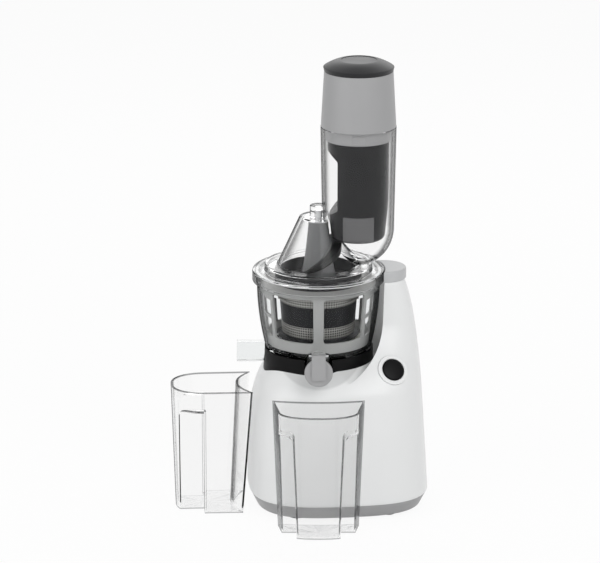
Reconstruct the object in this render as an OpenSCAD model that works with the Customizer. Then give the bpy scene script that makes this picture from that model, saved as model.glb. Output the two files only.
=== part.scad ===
// Cold press juicer: a motor base with a side tower, a clear juicing bowl, a lid
// with a wide feed tube and its pusher, and two clear cups. Millimetres, +Z up.
// The pieces are drawn around the drive axis, then moved so that the origin is
// the middle of the footprint of the whole set, on the table.

/* [Motor base] */
// Length of the tower beside the recess, across its top, along X
tower_len = 20.5; // [18:0.5:24]
// How far the shell's foot stands out past the recess, on the left
left_margin = 4; // [2:0.5:7]
// How far the shell's foot stands out past the recess, at the front and back
side_margin = 12; // [9:0.5:15]
// Turn of the shell about Z, in degrees
shell_turn = 5.5; // [3:0.5:8]
// Height of the shell's lower edge
shell_z = 19; // [17:1:21]
// Thickness of the shell's wall
shell_wall = 3; // [2.5:0.5:3.5]
// Width of the tower across its top
tower_wid = 50; // [46:1:56]
// How far the tower's outer side leans in, up to its top
tower_lean = 13.5; // [10:0.5:17]
// How far the tower's shoulder rounds in, at its top
tower_round = 12; // [9:0.5:15]
// Height of the deck that carries the bowl's seat
deck_z = 152; // [148:1:156]
// Clearance between the bowl's wall and the round recess
recess_gap = 6.5; // [6:0.5:9]
// Diameter of the gray bezel around the switch
bezel_d = 34; // [30:1:38]
// Diameter of the push button
button_d = 24; // [20:1:27]
// Travel of the push button
button_travel = 3; // [2:0.5:3.5]

/* [Bowl] */
// Outer radius of the bowl just under its rim
bowl_rim_r = 67; // [64:0.5:70]
// How much narrower the bowl is at its foot
bowl_taper = 11; // [10:0.5:12]
// Height of the bowl from its foot to its rim
bowl_h = 95.5; // [93:0.5:98]
// Thickness of the bowl's wall
bowl_wall = 2.6; // [2:0.2:3]
// Outer diameter of the juice spout
spout_d = 29.8; // [27:0.2:31]
// How far the juice spout stands out from the bowl's foot
spout_out = 34; // [30:1:38]
// Outer diameter of the pulp outlet
outlet_d = 23.8; // [22:0.2:24.6]
// How far the pulp outlet stands out from the bowl's foot
outlet_out = 33; // [28:1:37]
// Width of the brush cage's front and back straps
strap_wid = 11; // [9:0.5:13]
// Width of the brush cage's side bars
bar_wid = 5; // [4:0.5:6]

/* [Lid and pusher] */
// How far the lid's flange stands out past the bowl's wall
flange_out = 5; // [4.5:0.5:5.5]
// Thickness of the lid's clear walls
lid_wall = 3; // [2.5:0.5:3.5]
// Bore of the feed tube at its rim
feed_bore = 76; // [74:1:78]
// Height of the feed tube's rim above the lid's raised ring
feed_h = 152.6; // [146:1:160]
// Distance from the bowl's rim to the middle of the feed tube
feed_inset = 24; // [23.5:0.5:24.5]
// Height of the pusher's gray hood
hood_h = 61; // [50:1:70]
// Height of the pusher's domed cap
cap_h = 12; // [10:1:20]

/* [Cups] */
// Height of the juice cup
juice_cup_h = 138; // [130:1:144]
// Width of the juice cup's back at its rim
juice_cup_wid = 100; // [94:1:106]
// Height of the pulp cup
pulp_cup_h = 139.5; // [132:0.5:146]
// Width of the pulp cup's inner side at its rim
pulp_cup_wid = 74; // [70:1:78]
// Wall of both cups
cup_wall = 2; // [1.6:0.2:2.4]

/* [Drive] */
// Tooth size (module) of the gearbox's gears
gear_mod = 0.8; // [0.76:0.02:0.82]
// Teeth of the gearbox's pinions
pinion_teeth = 12; // [12:4:12]
// Teeth of the gearbox's large gears
wheel_teeth = 48; // [48:4:48]
// Radius of the motor's stator
stator_r = 38; // [36:1:40]
// Length of the motor's stator
stator_h = 40; // [34:1:42]

/* [Hidden] */
$fn = 96;

// Overrun of every cut, and the clearances between pieces
cut = 1;
fit_run = 0.05;
fit_seat = 0.3;
fit_slide = 0.5;

// Radii that the rest is set out from
bowl_foot_r = bowl_rim_r - bowl_taper;
recess_r = bowl_rim_r + recess_gap;
flange_r = bowl_rim_r + flange_out;
feed_x = bowl_rim_r - feed_inset;
spout_reach = bowl_foot_r + spout_out;
outlet_reach = bowl_foot_r + outlet_out;

// Shape of the shell between its foot and the tower's top
shell_right = recess_r + tower_len + tower_lean + tower_round;
shell_left = recess_r + left_margin;
shell_len = shell_right + shell_left;
shell_wid = 2*(recess_r + side_margin);
shell_shift = (shell_right - shell_left)/2;
shell_y = 2;
tower_y = 4;
front_lean = 17.6;
tower_flare = 26;
left_z = 20;
left_top_z = 220;
left_top_x = 20;
waist_z = 138;
waist_top_z = 212;
foot_power = 3;
top_power = 2.8;
left_power = 4.2;
shoulder_power = 6;
waist_power = 0.85;
level_shares = [0, 0.1, 0.22, 0.34, 0.43, 0.5, 0.55, 0.59, 0.63, 0.67, 0.71, 0.75, 0.79, 0.83, 0.87, 0.91,
    0.94, 0.97, 1];
inner_level_shares = [0, 0.2, 0.4, 0.52, 0.6, 0.68, 0.76, 0.84, 0.92, 1];
shell_sides = 56;
half_step = 0.5;

// Gray ring, floor plate and feet
ring_z = 4;
ring_top_inset = 1;
ring_bottom_inset = 8;
ring_wall = 3;
shelf_z = 7;
shelf_t = 3;
shelf_reach = 12;
foot_r = 9;
foot_x = 50;
foot_y = 55;
post_r = 5;
post_top_z = 45;
post_inset = 16.5;
post_angles = [40, 140, 220, 320];
gusset_t = 4;
vent_ring_r = 14;
vent_count = 6;
vent_start = 30;
screw_r = 2;
screw_head_r = 3.5;
screw_head_t = 2;
base_screw_h = 24;

// Seat of the bowl
seat_rim = 4;
seat_r = bowl_foot_r + seat_rim;
seat_h = 26;
seat_steps = 4;
seat_floor_rise = 10.7;
seat_floor_z = deck_z + seat_floor_rise;
seat_floor_t = 3;
rim_slope_h = 14;
rim_slope_z = deck_z + rim_slope_h;
rim_edge_z = deck_z + cut;
deck_hole_r = 14;

// Heights of the bowl group, from the seat up
bowl_foot_z = seat_floor_z + seat_floor_t + fit_seat;
bowl_top = bowl_foot_z + bowl_h;
bowl_floor_h = 13;
bowl_floor_z = bowl_foot_z + bowl_floor_h;
bowl_floor_t = 3;
bowl_skirt_h = 5.6;
bowl_rise_z = bowl_foot_z + bowl_skirt_h;
lip_h = 9.5;
lip_z = bowl_top - lip_h;
lip_out = 1;
lip_r = bowl_rim_r + lip_out;
step_t = 2.5;
step_drop = 2;
step_z = lip_z - step_drop;
step_wid = 6.2;
step_r = bowl_rim_r - step_wid;
bowl_power = 2;
rest_gap = 1;
neck_r = 11;
neck_h = 13;
neck_top_z = bowl_floor_z + neck_h;
spout_rise = 9;
spout_z = bowl_foot_z + spout_rise;
spout_wall = 2.4;
slot_h = 7;
slot_wid = 14;
slot_y = 48;
outlet_rise = 5;
outlet_z = bowl_foot_z + outlet_rise;
outlet_wall = 2;
outlet_inner_x = 26;
chute_w = 16;
chute_wall = 1.6;
chute_len = 9;
chute_h = 11.5;
chute_inset = 16;
chute_x0 = bowl_foot_r - chute_inset;
chute_x1 = chute_x0 - chute_len;
chute_top_z = bowl_floor_z + chute_h;

// Gears in the floor of the bowl
sun_teeth = 24;
idler_teeth = 18;
cage_teeth = sun_teeth + 2*idler_teeth;
cage_r0 = bowl_foot_r - fit_slide;
gear_rim = 10.5;
brush_mod = 2*(cage_r0 - gear_rim)/cage_teeth;
sun_r = brush_mod*sun_teeth/2;
idler_r = brush_mod*idler_teeth/2;
idler_x = sun_r + idler_r;
brush_gear_rise = 5;
brush_gear_z = bowl_floor_z + brush_gear_rise;
brush_gear_h = 6;
idler_pin_r = 3;
idler_pin_h = 13;
seal_boss_h = 6;

// Strainer: a tapered cup inside the brush cage
strainer_z = brush_gear_z + brush_gear_h + cut;
strainer_floor_t = 3;
strainer_low_gap = 17;
strainer_high_gap = 23.5;
strainer_r0 = bowl_foot_r - strainer_low_gap;
strainer_r1 = bowl_rim_r - strainer_high_gap;
strainer_wall = 2;
strainer_hole_r = 20.5;
mesh_t = 0.6;
flange_t = 2.5;
mouth_r = 47;
mouth_z = step_z + flange_t + 13.5;
band_count = 8;
band_rib = 6;
low_band_rise = 5;
low_band_h = 12;
high_band_rise = 41;
high_band_h = 14;
low_band = [strainer_z + low_band_rise, strainer_z + low_band_rise + low_band_h];
high_band = [strainer_z + high_band_rise, strainer_z + high_band_rise + high_band_h];
foot_collar_out = 6;
foot_collar_r = strainer_r0 + foot_collar_out;
foot_collar_h = 4;

// Brush cage
cage_z = brush_gear_z;
cage_ring_h = 12;
cage_h = 56;
cage_top_z = cage_z + cage_h;
cage_top_h = 9.4;
cage_rim_t = 2.9;
cage_side_drop = 2;
cage_top_gap = 7;
cage_r1 = bowl_rim_r - cage_top_gap;
cage_wall = 2.4;
cage_ring_wall = 6;
cage_mid_rise = 32.8;
cage_mid_z = cage_z + cage_mid_rise;
cage_mid_h = 3;
rail_gap = 2.5;
rail_r = cage_r0 - rail_gap;
rail_wall = 2.4;
bar_count = 6;
wiper_t = 2;
wiper_gap = 0.4;

// Auger
auger_hub_r = 20;
auger_hub_z = brush_gear_z + brush_gear_h;
auger_low_gap = 9;
auger_mid_gap = 19.5;
auger_low_r = strainer_r0 - auger_low_gap;
auger_mid_r = strainer_r1 - auger_mid_gap;
shaft_r = 10.6;
shaft_h = 57;
shaft_power = 0.45;
auger_top_z = bowl_top + shaft_h;
pin_r = 3.4;
pin_h = 12;
socket_r = 10;
socket_z = neck_top_z + 2*cut;
socket_h = 24;
hex_af = 12;
hex_gap = 0.15;
flight_t = 4;
flight_gap = 0.8;
flight_turns = 1.6;
flight_steps = 40;
flight_starts = [0, 180];
core_steps = 10;
knife_turns = 0.6;
knife_start = -200;
knife_gap = 5.5;
knife_r = strainer_r1 - knife_gap;
knife_top_r = 22;
knife_h = 35;
knife_top_z = bowl_top + knife_h;

// Lid
skirt_h = 8.3;
skirt_z = bowl_top - skirt_h;
seal_t = 1.5;
plate_z = bowl_top + seal_t;
plate_t = 1.8;
flange_top = plate_z + plate_t;
raised_in = 8.4;
raised_r = bowl_rim_r - raised_in;
raised_h = 7.3;
raised_top = flange_top + raised_h;
cone_in = 22.6;
cone_r = bowl_rim_r - cone_in;
cone_h = 52.6;
cone_top_r = 20.4;
cone_top = raised_top + cone_h;
peg_r = 9.3;
peg_h = 12;

// Feed tube: a round-bottomed tube that narrows a little downwards
feed_r = feed_bore/2 + lid_wall;
feed_taper = 2;
feed_low_r = feed_r - feed_taper;
feed_round_h = 42;
feed_sink = 2;
feed_low_z = raised_top - feed_sink;
feed_round_z = feed_low_z + feed_round_h;
feed_top = raised_top + feed_h;
arc_steps = 12;

// Pusher
rod_gap = 4.6;
rod_taper = 0.7;
rod_low_taper = 4;
rod_r1 = feed_bore/2 - rod_gap;
rod_mid_r = rod_r1 - rod_taper;
rod_r0 = rod_r1 - rod_low_taper;
rod_share = 0.78;
rod_mid_share = 0.557;
rod_bottom_z = feed_top - rod_share*feed_h;
rod_mid_z = feed_top - rod_mid_share*feed_h;
rod_foot_h = 6;
rod_wall = 2.5;
rod_flat_x = 22.4;
rod_flat_h = 55;
rod_flat_drop = 89;
rod_flat_z = feed_top - rod_flat_drop;
rod_flat_slope = 0.9;
rod_flat_rise = rod_flat_slope*(2*rod_r1 - rod_flat_x);
collar_t = 2;
collar_r = rod_r1 + collar_t;
collar_h = 14;
hood_taper = 3.4;
hood_r0 = feed_r - fit_seat;
hood_r1 = hood_r0 - hood_taper;
hood_wall = 2.5;
cap_edge_h = 4.4;
cap_lip = 0.9;
cap_r = hood_r1 + cap_lip;
cap_rim_wid = 18.6;
cap_disc_r = cap_r - cap_rim_wid;
cap_disc_dip = 0.6;
dome_power = 1.5;
push_z = feed_top + fit_seat;

// Latch cap on the tower's top
latch_h = 11.8;
latch_r = 25;
latch_in = 1;
latch_x = flange_r - latch_in;
latch_y = 10;
latch_gap = 0.6;
tower_gap = 0.2;
tower_z = skirt_z - tower_gap;

// Gearbox and motor
gear_c = gear_mod*(pinion_teeth + wheel_teeth)/2;
involute_angle = 20;
profile_steps = 3;
case_r = 48;
case_wall = 3;
case_z = 98;
case_h = 28;
case_lid_z = case_z + case_h;
case_lid_t = 4;
wheel_h = 6;
stage1_rise = 6;
stage2_rise = 15;
stage1_z = case_z + stage1_rise;
stage2_z = case_z + stage2_rise;
stage2_h = 8;
lay_pin_r = 2.2;
out_r = 7;
case_neck_r = 13;
case_neck_rise = 8;
case_neck_z = deck_z + case_neck_rise;
bush_r = 10;
bush_h = 20;
seal_h = 4;
hex_z = neck_top_z - cut;
hex_h = 23;
post_count = 4;
post_start = 45;
post_ring_r = 40;
motor_shaft_r = 4;
motor_tip_r = 2.4;
bell_t = 3;
bell_skirt = 9;
bell_wall = 4;
stator_top_z = case_z - bell_t - bell_skirt;
stator_z = stator_top_z - stator_h;
stator_bore_r = 22;
air_gap = 0.4;
winding_r0 = 23;
winding_r1 = 33;
winding_h = 7;
bearing_r = 11;
bearing_h = 6;
bearing_seat_wall = 3;
rear_z = stator_z - bell_skirt - bell_t;
fan_r = 21;
fan_hub_r = 8;
fan_h = 8;
fan_t = 1.6;
fan_blades = 7;
fan_gap = 3;
fan_z = rear_z - fan_gap - fan_h;
mount_ring_r = 33;
mount_r = 7;
mount_h = 6;
shaft_low_z = fan_z - 2*cut;

// Board, switch and inlet
board_in = 47.5;
board_x = shell_right - board_in;
board_len = 46;
board_wid = 60;
board_z = 20;
board_t = 1.6;
board_post_r = 3;
board_post_inset = 5;
capacitor_r = 11;
capacitor_h = 34;
relay_len = 16;
relay_wid = 13;
relay_h = 15;
switch_rise = 12.1;
switch_z = deck_z + switch_rise;
switch_angle = -63;
bezel_t = 5;
bezel_inset = 1;
bezel_step = 2;
switch_body_r = 7.5;
switch_body_h = 7;
button_gap = 0.4;
bezel_r0 = button_d/2 + button_gap + bezel_inset;
button_out = 2.6;
button_dome = 1.4;
button_h = bezel_step + bezel_t - bezel_inset + button_out - button_dome - button_travel - button_gap;
lid_switch_wid = 10;
lid_switch_len = 20;
lid_switch_h = 12;
inlet_angle = 72;
inlet_z = 40;
inlet_r = 8;
inlet_flange_r = 10.5;
inlet_flange_t = 3;
inlet_bore_r = 3.6;
inlet_len = 10;

// Juice cap: a disc on a hinged tongue, with a soft plug
cap_disc = 15.2;
cap_t = 4.5;
tongue_wid = 15;
tongue_t = 2;
hinge_r = 2.6;
hinge_pin_r = 1.2;
hinge_ear_t = 3;
hinge_rise = 3.2;
hinge_y = -(spout_reach - cut);
hinge_z = spout_z + spout_d/2 + hinge_rise;
plug_h = 2.5;

// Cups: width, side length, bow, hollow of the back and front width at the rim,
// and the shares of them that are left at the foot
juice_rim = [juice_cup_wid, 36.5, 25.5, 5.5, 88];
juice_foot_shares = [0.88, 0.72, 0.71, 0.55, 0.89];
juice_tuck = 11.5;
juice_at = [0, juice_tuck - shell_wid/2];
juice_lean = 15;
juice_grip_x = 23.5;
juice_grip_y = 38;
pulp_rim = [pulp_cup_wid, 50, 38.2, 15, 73];
pulp_foot_shares = [0.955, 0.8, 0.86, 0.72, 0.95];
pulp_tuck = 4;
pulp_shift = 13.7;
pulp_at = [pulp_tuck - shell_left, -pulp_shift];
pulp_turn = -86.5;
pulp_lean = 11;
pulp_grip_x = 19;
pulp_grip_y = 53;
cup_floor_t = 2.5;
cup_back_points = 12;
cup_arc_points = 28;
cup_sizes_last = 4;
bow_power = 0.9;
grip_drop = 23.5;
grip_round = 6;
grip_steps = 6;

// Small helpers
function mix(a, b, t) = a + (b - a)*t;
function clamp01(t) = max(0, min(1, t));
function ease(t) = t*t*(3 - 2*t);
function spin(p, a) = [p.x*cos(a) - p.y*sin(a), p.x*sin(a) + p.y*cos(a)];
function signed_pow(v, p) = sign(v)*pow(abs(v), p);

// Horizontal section of the shell at height z, drawn in by an inset
function rise(z) = clamp01((z - shell_z)/(tower_z - shell_z));
function right_x(z) = shell_shift + shell_len/2 - tower_lean*rise(z)
    - tower_round*pow(rise(z), shoulder_power);
function left_x(z) = mix(shell_shift - shell_len/2, left_top_x,
    pow(clamp01((z - left_z)/(left_top_z - left_z)), left_power));
function low_w(z) = shell_wid/2 - front_lean*rise(z);
function high_w(z) = tower_wid/2 + tower_flare*(1 - rise(z));
function waist(z) = pow(ease(clamp01((z - waist_z)/(waist_top_z - waist_z))), waist_power);
function half_w(z) = mix(low_w(z), high_w(z), waist(z));
function power_at(z) = mix(foot_power, top_power, rise(z));
function mid_y_at(z) = mix(shell_y, tower_y, rise(z));
function shell_point(a, z, inset) =
    let(n = 2/power_at(z),
        half_l = (right_x(z) - left_x(z))/2 - inset,
        p = [(right_x(z) + left_x(z))/2 + half_l*signed_pow(cos(a), n) - shell_shift,
             mid_y_at(z) + (half_w(z) - inset)*signed_pow(sin(a), n) - shell_y],
        q = spin(p, shell_turn))
    [q.x + shell_shift, q.y + shell_y, z];
function shell_section(z, inset, sides) = [for (i = [0:sides - 1]) shell_point(i*360/sides, z, inset)];

// Horizontal section of a cup: share t runs from its foot to its rim. The back
// faces the base along +Y, and the bowed front points along -Y
function cup_sizes(rim, shares, t) = [for (i = [0:cup_sizes_last]) rim[i]*mix(shares[i], 1, t)];
function cup_section(rim, shares, lean, t, inset) =
    let(c = cup_sizes(rim, shares, t), hw = c[0]/2 - inset, fw = c[4]/2 - inset, back = -lean*(1 - t) - inset,
        front = back - c[1] + inset, bow = c[2] - inset)
    concat(
        [for (i = [0:cup_back_points - 1]) let(x = mix(hw, -hw, i/cup_back_points))
            [x, back - c[3]*(1 - pow(x/hw, 2))]],
        [[-hw, back]],
        [for (i = [0:cup_arc_points]) let(a = 180 + 180*i/cup_arc_points)
            [fw*signed_pow(cos(a), bow_power), front + bow*signed_pow(sin(a), bow_power)]]);

// Footprint of the whole set: its middle becomes the origin
foot_outline = shell_section(shell_z, 0, 4*shell_sides);
inlet_at = shell_point(inlet_angle, inlet_z, 0);
inlet_end_y = inlet_at.y + inlet_len - 2*shell_wall;
juice_outline = [for (p = cup_section(juice_rim, juice_foot_shares, juice_lean, 1, 0)) p + juice_at];
pulp_outline = [for (p = cup_section(pulp_rim, pulp_foot_shares, pulp_lean, 1, 0))
    spin(p, pulp_turn) + pulp_at];
mid_x = (max([for (p = foot_outline) p.x]) + min([for (p = pulp_outline) p.x]))/2;
mid_y = (max(inlet_end_y, max([for (p = foot_outline) p.y])) + min([for (p = juice_outline) p.y]))/2;
module place() translate([-mid_x, -mid_y, 0]) children();

// A closed skin over rings of points, lowest ring first, each anticlockwise, with
// a fan of triangles round the middle of each end
module skin(rings) {
    n = len(rings[0]);
    m = len(rings);
    middles = [for (r = [rings[0], rings[m - 1]]) [for (v = r) 1]*r/n];
    sides = [for (i = [0:m - 2]) for (j = [0:n - 1]) let(k = (j + 1) % n) each
        [[i*n + j, (i + 1)*n + j, (i + 1)*n + k], [i*n + j, (i + 1)*n + k, i*n + k]]];
    bottom = [for (j = [0:n - 1]) [m*n, j, (j + 1) % n]];
    top = [for (j = [0:n - 1]) [m*n + 1, (m - 1)*n + (j + 1) % n, (m - 1)*n + j]];
    polyhedron(points = concat([for (r = rings) each r], middles), faces = concat(sides, bottom, top),
        convexity = 8);
}

module tube(r_out, r_in, z0, z1)
    rotate_extrude()
        translate([r_in, z0])
            square([r_out - r_in, z1 - z0]);

module rod(r, z0, z1)
    translate([0, 0, z0])
        cylinder(r = r, h = z1 - z0);

module turned(outline)
    rotate_extrude()
        polygon(outline);

module around(count, radius, start = 0)
    for (i = [0:count - 1])
        rotate([0, 0, start + i*360/count])
            translate([radius, 0, 0])
                children();

// Involute gear outline; thin is the share of a pitch taken off each tooth
function roll(rb, r) = let(c = acos(min(1, rb/r))) tan(c)*180/PI - c;
function flank(teeth, mod, r, thin) =
    let(rp = mod*teeth/2, rb = rp*cos(involute_angle))
    90/teeth - thin*360/teeth/2 + roll(rb, rp) - roll(rb, max(rb, r));
function gear_outline(teeth, mod, thin, tip, root) =
    let(rp = mod*teeth/2, rb = rp*cos(involute_angle), ra = rp + tip*mod, rf = rp - root*mod,
        r1 = max(rb, rf), side = concat([rf], [for (i = [0:profile_steps]) mix(r1, ra, i/profile_steps)]))
    [for (k = [0:teeth - 1]) each concat(
        [for (r = side) let(a = k*360/teeth - flank(teeth, mod, r, thin)) [r*cos(a), r*sin(a)]],
        [for (i = [len(side) - 1:-1:0]) let(r = side[i], a = k*360/teeth + flank(teeth, mod, r, thin))
            [r*cos(a), r*sin(a)]])];
tooth_thin_share = 0.06;
tip_share = 0.9;
root_share = 1.2;
module gear(teeth, mod, z, h, bore, phase = 0)
    translate([0, 0, z])
        difference() {
            rotate([0, 0, phase])
                linear_extrude(height = h)
                    polygon(gear_outline(teeth, mod, tooth_thin_share, tip_share, root_share));
            translate([0, 0, -cut])
                cylinder(r = bore, h = h + 2*cut);
        }

// Switch place: a point on the shell's skin, its outward direction and frame
switch_at = shell_point(switch_angle, switch_z, 0);
switch_side = shell_point(switch_angle + 1, switch_z, 0) - shell_point(switch_angle - 1, switch_z, 0);
switch_up = shell_point(switch_angle, switch_z + cut, 0) - shell_point(switch_angle, switch_z - cut, 0);
switch_dir = cross(switch_side, switch_up);
switch_yaw = atan2(switch_dir.y, switch_dir.x);
switch_tilt = acos(switch_dir.z/norm(switch_dir));
module at_switch()
    translate(switch_at)
        rotate([0, switch_tilt, switch_yaw])
            children();

module base_places()
    for (a = post_angles)
        translate(shell_point(a, shell_z, post_inset) - [0, 0, shell_z])
            children();

module foot_places()
    translate([shell_shift, shell_y, 0])
        rotate([0, 0, shell_turn])
            for (x = [-foot_x, foot_x], y = [-foot_y, foot_y])
                translate([x, y, 0])
                    children();

module gearbox_places()
    around(post_count, post_ring_r, post_start)
        children();

// Motor base
module spout_channel(start)
    translate([0, -start, spout_z])
        union() {
            rotate([90, 0, 0])
                cylinder(r = spout_d/2 + fit_slide, h = recess_r);
            translate([-spout_d/2 - fit_slide, -recess_r, 0])
                cube([spout_d + 2*fit_slide, recess_r, seat_h]);
        }

module outlet_channel(start)
    translate([-start, 0, outlet_z])
        union() {
            rotate([0, -90, 0])
                cylinder(r = outlet_d/2 + fit_slide, h = recess_r);
            translate([-recess_r, -outlet_d/2 - fit_slide, 0])
                cube([recess_r, outlet_d + 2*fit_slide, seat_h]);
        }

module prism(inset, z0, z1)
    translate([0, 0, z0])
        linear_extrude(height = z1 - z0)
            polygon([for (i = [0:shell_sides - 1])
                let(p = shell_point((i + half_step)*360/shell_sides, shell_z, inset)) [p.x, p.y]]);

module main_housing()
    color("white") place() difference() {
        union() {
            difference() {
                skin([for (s = level_shares) shell_section(mix(shell_z, tower_z, s), 0, shell_sides)]);
                difference() {
                    skin([for (s = inner_level_shares)
                        shell_section(mix(shell_z, tower_z - shell_wall, s), shell_wall, shell_sides)
                            - [for (i = [1:shell_sides]) [0, 0, s == 0 ? cut : 0]]]);
                    rod(recess_r + shell_wall, deck_z - shell_wall, tower_z + cut);
                    translate(switch_at)
                        rotate([0, switch_tilt, switch_yaw])
                            translate([0, 0, -bezel_step - bezel_t])
                                cylinder(r = bezel_d/2 + shell_wall, h = bezel_step + bezel_t);
                }
            }
            base_places()
                rod(post_r, shelf_z + shelf_t, post_top_z);
            intersection() {
                base_places()
                    rod(post_inset, shell_z + gusset_t, shell_z + 2*gusset_t);
                prism(shell_wall/2, shell_z, post_top_z);
            }
        }
        turned([[0, deck_z], [seat_r + fit_seat, deck_z], [seat_r + fit_seat, rim_slope_z],
            [recess_r, rim_edge_z], [recess_r, tower_z + cut], [0, tower_z + cut]]);
        rod(deck_hole_r, deck_z - shell_wall - cut, deck_z + cut);
        spout_channel(bowl_foot_r);
        outlet_channel(bowl_foot_r);
        gearbox_places()
            rod(screw_r + fit_slide/2, deck_z - shell_wall - cut, deck_z + cut);
        base_places()
            rod(screw_r + fit_run, ring_z, ring_z + base_screw_h + cut);
        at_switch() {
            translate([0, 0, -bezel_step])
                cylinder(r = bezel_d/2 + fit_seat, h = recess_r);
            translate([0, 0, -bezel_step - bezel_t - cut])
                cylinder(r = bezel_r0 + fit_seat, h = recess_r);
        }
        translate(inlet_at)
            rotate([-90, 0, 0]) {
                translate([0, 0, -seat_h])
                    cylinder(r = inlet_r + fit_run, h = 2*seat_h);
                translate([0, 0, inlet_len - 2*shell_wall - inlet_flange_t])
                    cylinder(r = inlet_flange_r + fit_seat, h = seat_h);
            }
    }

module latch_cap()
    color("gainsboro") place() difference() {
        translate([latch_x, latch_y, 0])
            rod(latch_r, tower_z, tower_z + latch_h);
        rod(flange_r + latch_gap, tower_z - cut, tower_z + latch_h + cut);
    }

module base_ring()
    color("darkgray") place() difference() {
        skin([for (e = [[ring_z, ring_bottom_inset], [shell_z, ring_top_inset]])
            [for (p = shell_section(shell_z, e[1], shell_sides)) [p.x, p.y, e[0]]]]);
        prism(ring_bottom_inset, shelf_z + shelf_t, shell_z + cut);
        prism(ring_bottom_inset + ring_wall, ring_z - cut, shelf_z);
        prism(ring_bottom_inset + shelf_reach, ring_z - cut, shell_z + 2*cut);
        base_places()
            rod(screw_r + fit_slide/2, ring_z + cut, shell_z);
    }

module base_plate()
    color("dimgray") place() difference() {
        union() {
            prism(ring_bottom_inset + ring_wall + fit_seat, ring_z, shelf_z);
            around(post_count, mount_ring_r, post_start)
                rod(mount_r, ring_z, rear_z - mount_h);
            for (x = [-1, 1], y = [-1, 1])
                translate([board_x + x*(board_len/2 - board_post_inset),
                    y*(board_wid/2 - board_post_inset), 0])
                    rod(board_post_r, ring_z, board_z);
        }
        base_places() {
            rod(screw_r + fit_slide/2, ring_z - cut, shelf_z + cut);
            rod(screw_head_r + fit_slide/2, ring_z - cut, ring_z + screw_head_t);
        }
        around(vent_count, vent_ring_r, vent_start)
            rod(motor_shaft_r, ring_z - cut, shelf_z + cut);
    }

module rubber_feet()
    color("black") place() foot_places() rod(foot_r, 0, ring_z);

module base_screws()
    color("silver") place() base_places() union() {
        rod(screw_head_r, ring_z, ring_z + screw_head_t);
        rod(screw_r, ring_z, ring_z + base_screw_h);
    }

module bowl_seat()
    color("black") place() difference() {
        union() {
            turned(concat([[bowl_foot_r + fit_slide, deck_z], [seat_r, deck_z], [seat_r, deck_z + seat_h]],
                [for (i = [seat_steps:-1:0]) let(z = mix(bowl_rise_z, deck_z + seat_h, i/seat_steps))
                    [bowl_r(z) + fit_slide, z]]));
            rod(seat_r - fit_slide, seat_floor_z, seat_floor_z + seat_floor_t);
        }
        rod(deck_hole_r, seat_floor_z - cut, seat_floor_z + seat_floor_t + cut);
        spout_channel(bowl_foot_r - bowl_wall);
        outlet_channel(outlet_inner_x - fit_slide);
    }

// Gearbox
module gearbox_case()
    color("gray") place() difference() {
        rod(case_r, case_z, case_lid_z);
        translate([0, 0, case_z + case_wall])
            rod(case_r - case_wall, 0, case_lid_z);
        rod(motor_shaft_r + cut, case_z - cut, case_z + case_wall + cut);
        translate([0, gear_c, 0])
            rod(lay_pin_r, case_z - cut, case_lid_z);
    }

module gearbox_lid()
    color("lightgray") place() difference() {
        union() {
            rod(case_r, case_lid_z, case_lid_z + case_lid_t);
            rod(case_neck_r, case_lid_z, case_neck_z);
            gearbox_places()
                rod(post_r, case_lid_z, deck_z - shell_wall);
        }
        rod(bush_r, case_lid_z - cut, case_neck_z + cut);
        gearbox_places()
            rod(screw_r + fit_run, case_lid_z + case_lid_t, deck_z);
        translate([0, gear_c, 0])
            rod(lay_pin_r, case_lid_z - cut, case_lid_z + case_lid_t - cut);
    }

module gearbox_screws()
    color("silver") place() gearbox_places() union() {
        rod(screw_head_r, deck_z, deck_z + screw_head_t);
        rod(screw_r, case_lid_z + case_lid_t + cut, deck_z + screw_head_t);
    }

module output_bushing()
    color("peru") place() tube(bush_r, out_r + fit_run, case_lid_z, case_lid_z + bush_h);

module output_seal()
    color("black") place() tube(bush_r, out_r + fit_run, case_neck_z - seal_h, case_neck_z);

module gear_pin()
    color("silver") place() translate([0, gear_c, 0])
        rod(lay_pin_r, case_z, case_lid_z + case_lid_t - cut);

module output_shaft()
    color("silver") place() union() {
        rod(out_r, stage2_z, hex_z);
        translate([0, 0, hex_z])
            cylinder(r = hex_af/sqrt(3), h = hex_h, $fn = 6);
    }

module output_gear()
    color("goldenrod") place()
        gear(wheel_teeth, gear_mod, stage2_z, stage2_h, out_r, 180/wheel_teeth);

module layshaft_gear()
    color("ivory") place() translate([0, gear_c, 0])
        gear(wheel_teeth, gear_mod, stage1_z, wheel_h, lay_pin_r + fit_run, 180/wheel_teeth);

module layshaft_pinion()
    color("silver") place() translate([0, gear_c, 0])
        gear(pinion_teeth, gear_mod, stage1_z + wheel_h, stage2_z + stage2_h - stage1_z - wheel_h,
            lay_pin_r + fit_run);

// Motor
module bell(z, skirt_up) difference() {
    flip = skirt_up ? 0 : 1;
    plate = z + flip*bell_skirt;
    seat = z + (1 - flip)*bell_t + flip*(bell_skirt - bearing_h);
    union() {
        rod(stator_r, plate, plate + bell_t);
        tube(stator_r, stator_r - bell_wall, z, z + bell_t + bell_skirt);
        tube(bearing_r + bearing_seat_wall, bearing_r, seat, seat + bearing_h);
    }
    rod(motor_shaft_r + cut, z - cut, z + bell_t + bell_skirt + cut);
}

module motor_front_bell()
    color("silver") place() bell(stator_top_z, false);

module motor_rear_bell()
    color("silver") place() bell(rear_z, true);

module motor_stator()
    color("dimgray") place() tube(stator_r, stator_bore_r, stator_z, stator_top_z);

module motor_windings()
    color("chocolate") place() union() {
        tube(winding_r1, winding_r0, stator_z - winding_h, stator_z);
        tube(winding_r1, winding_r0, stator_top_z, stator_top_z + winding_h);
    }

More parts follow.
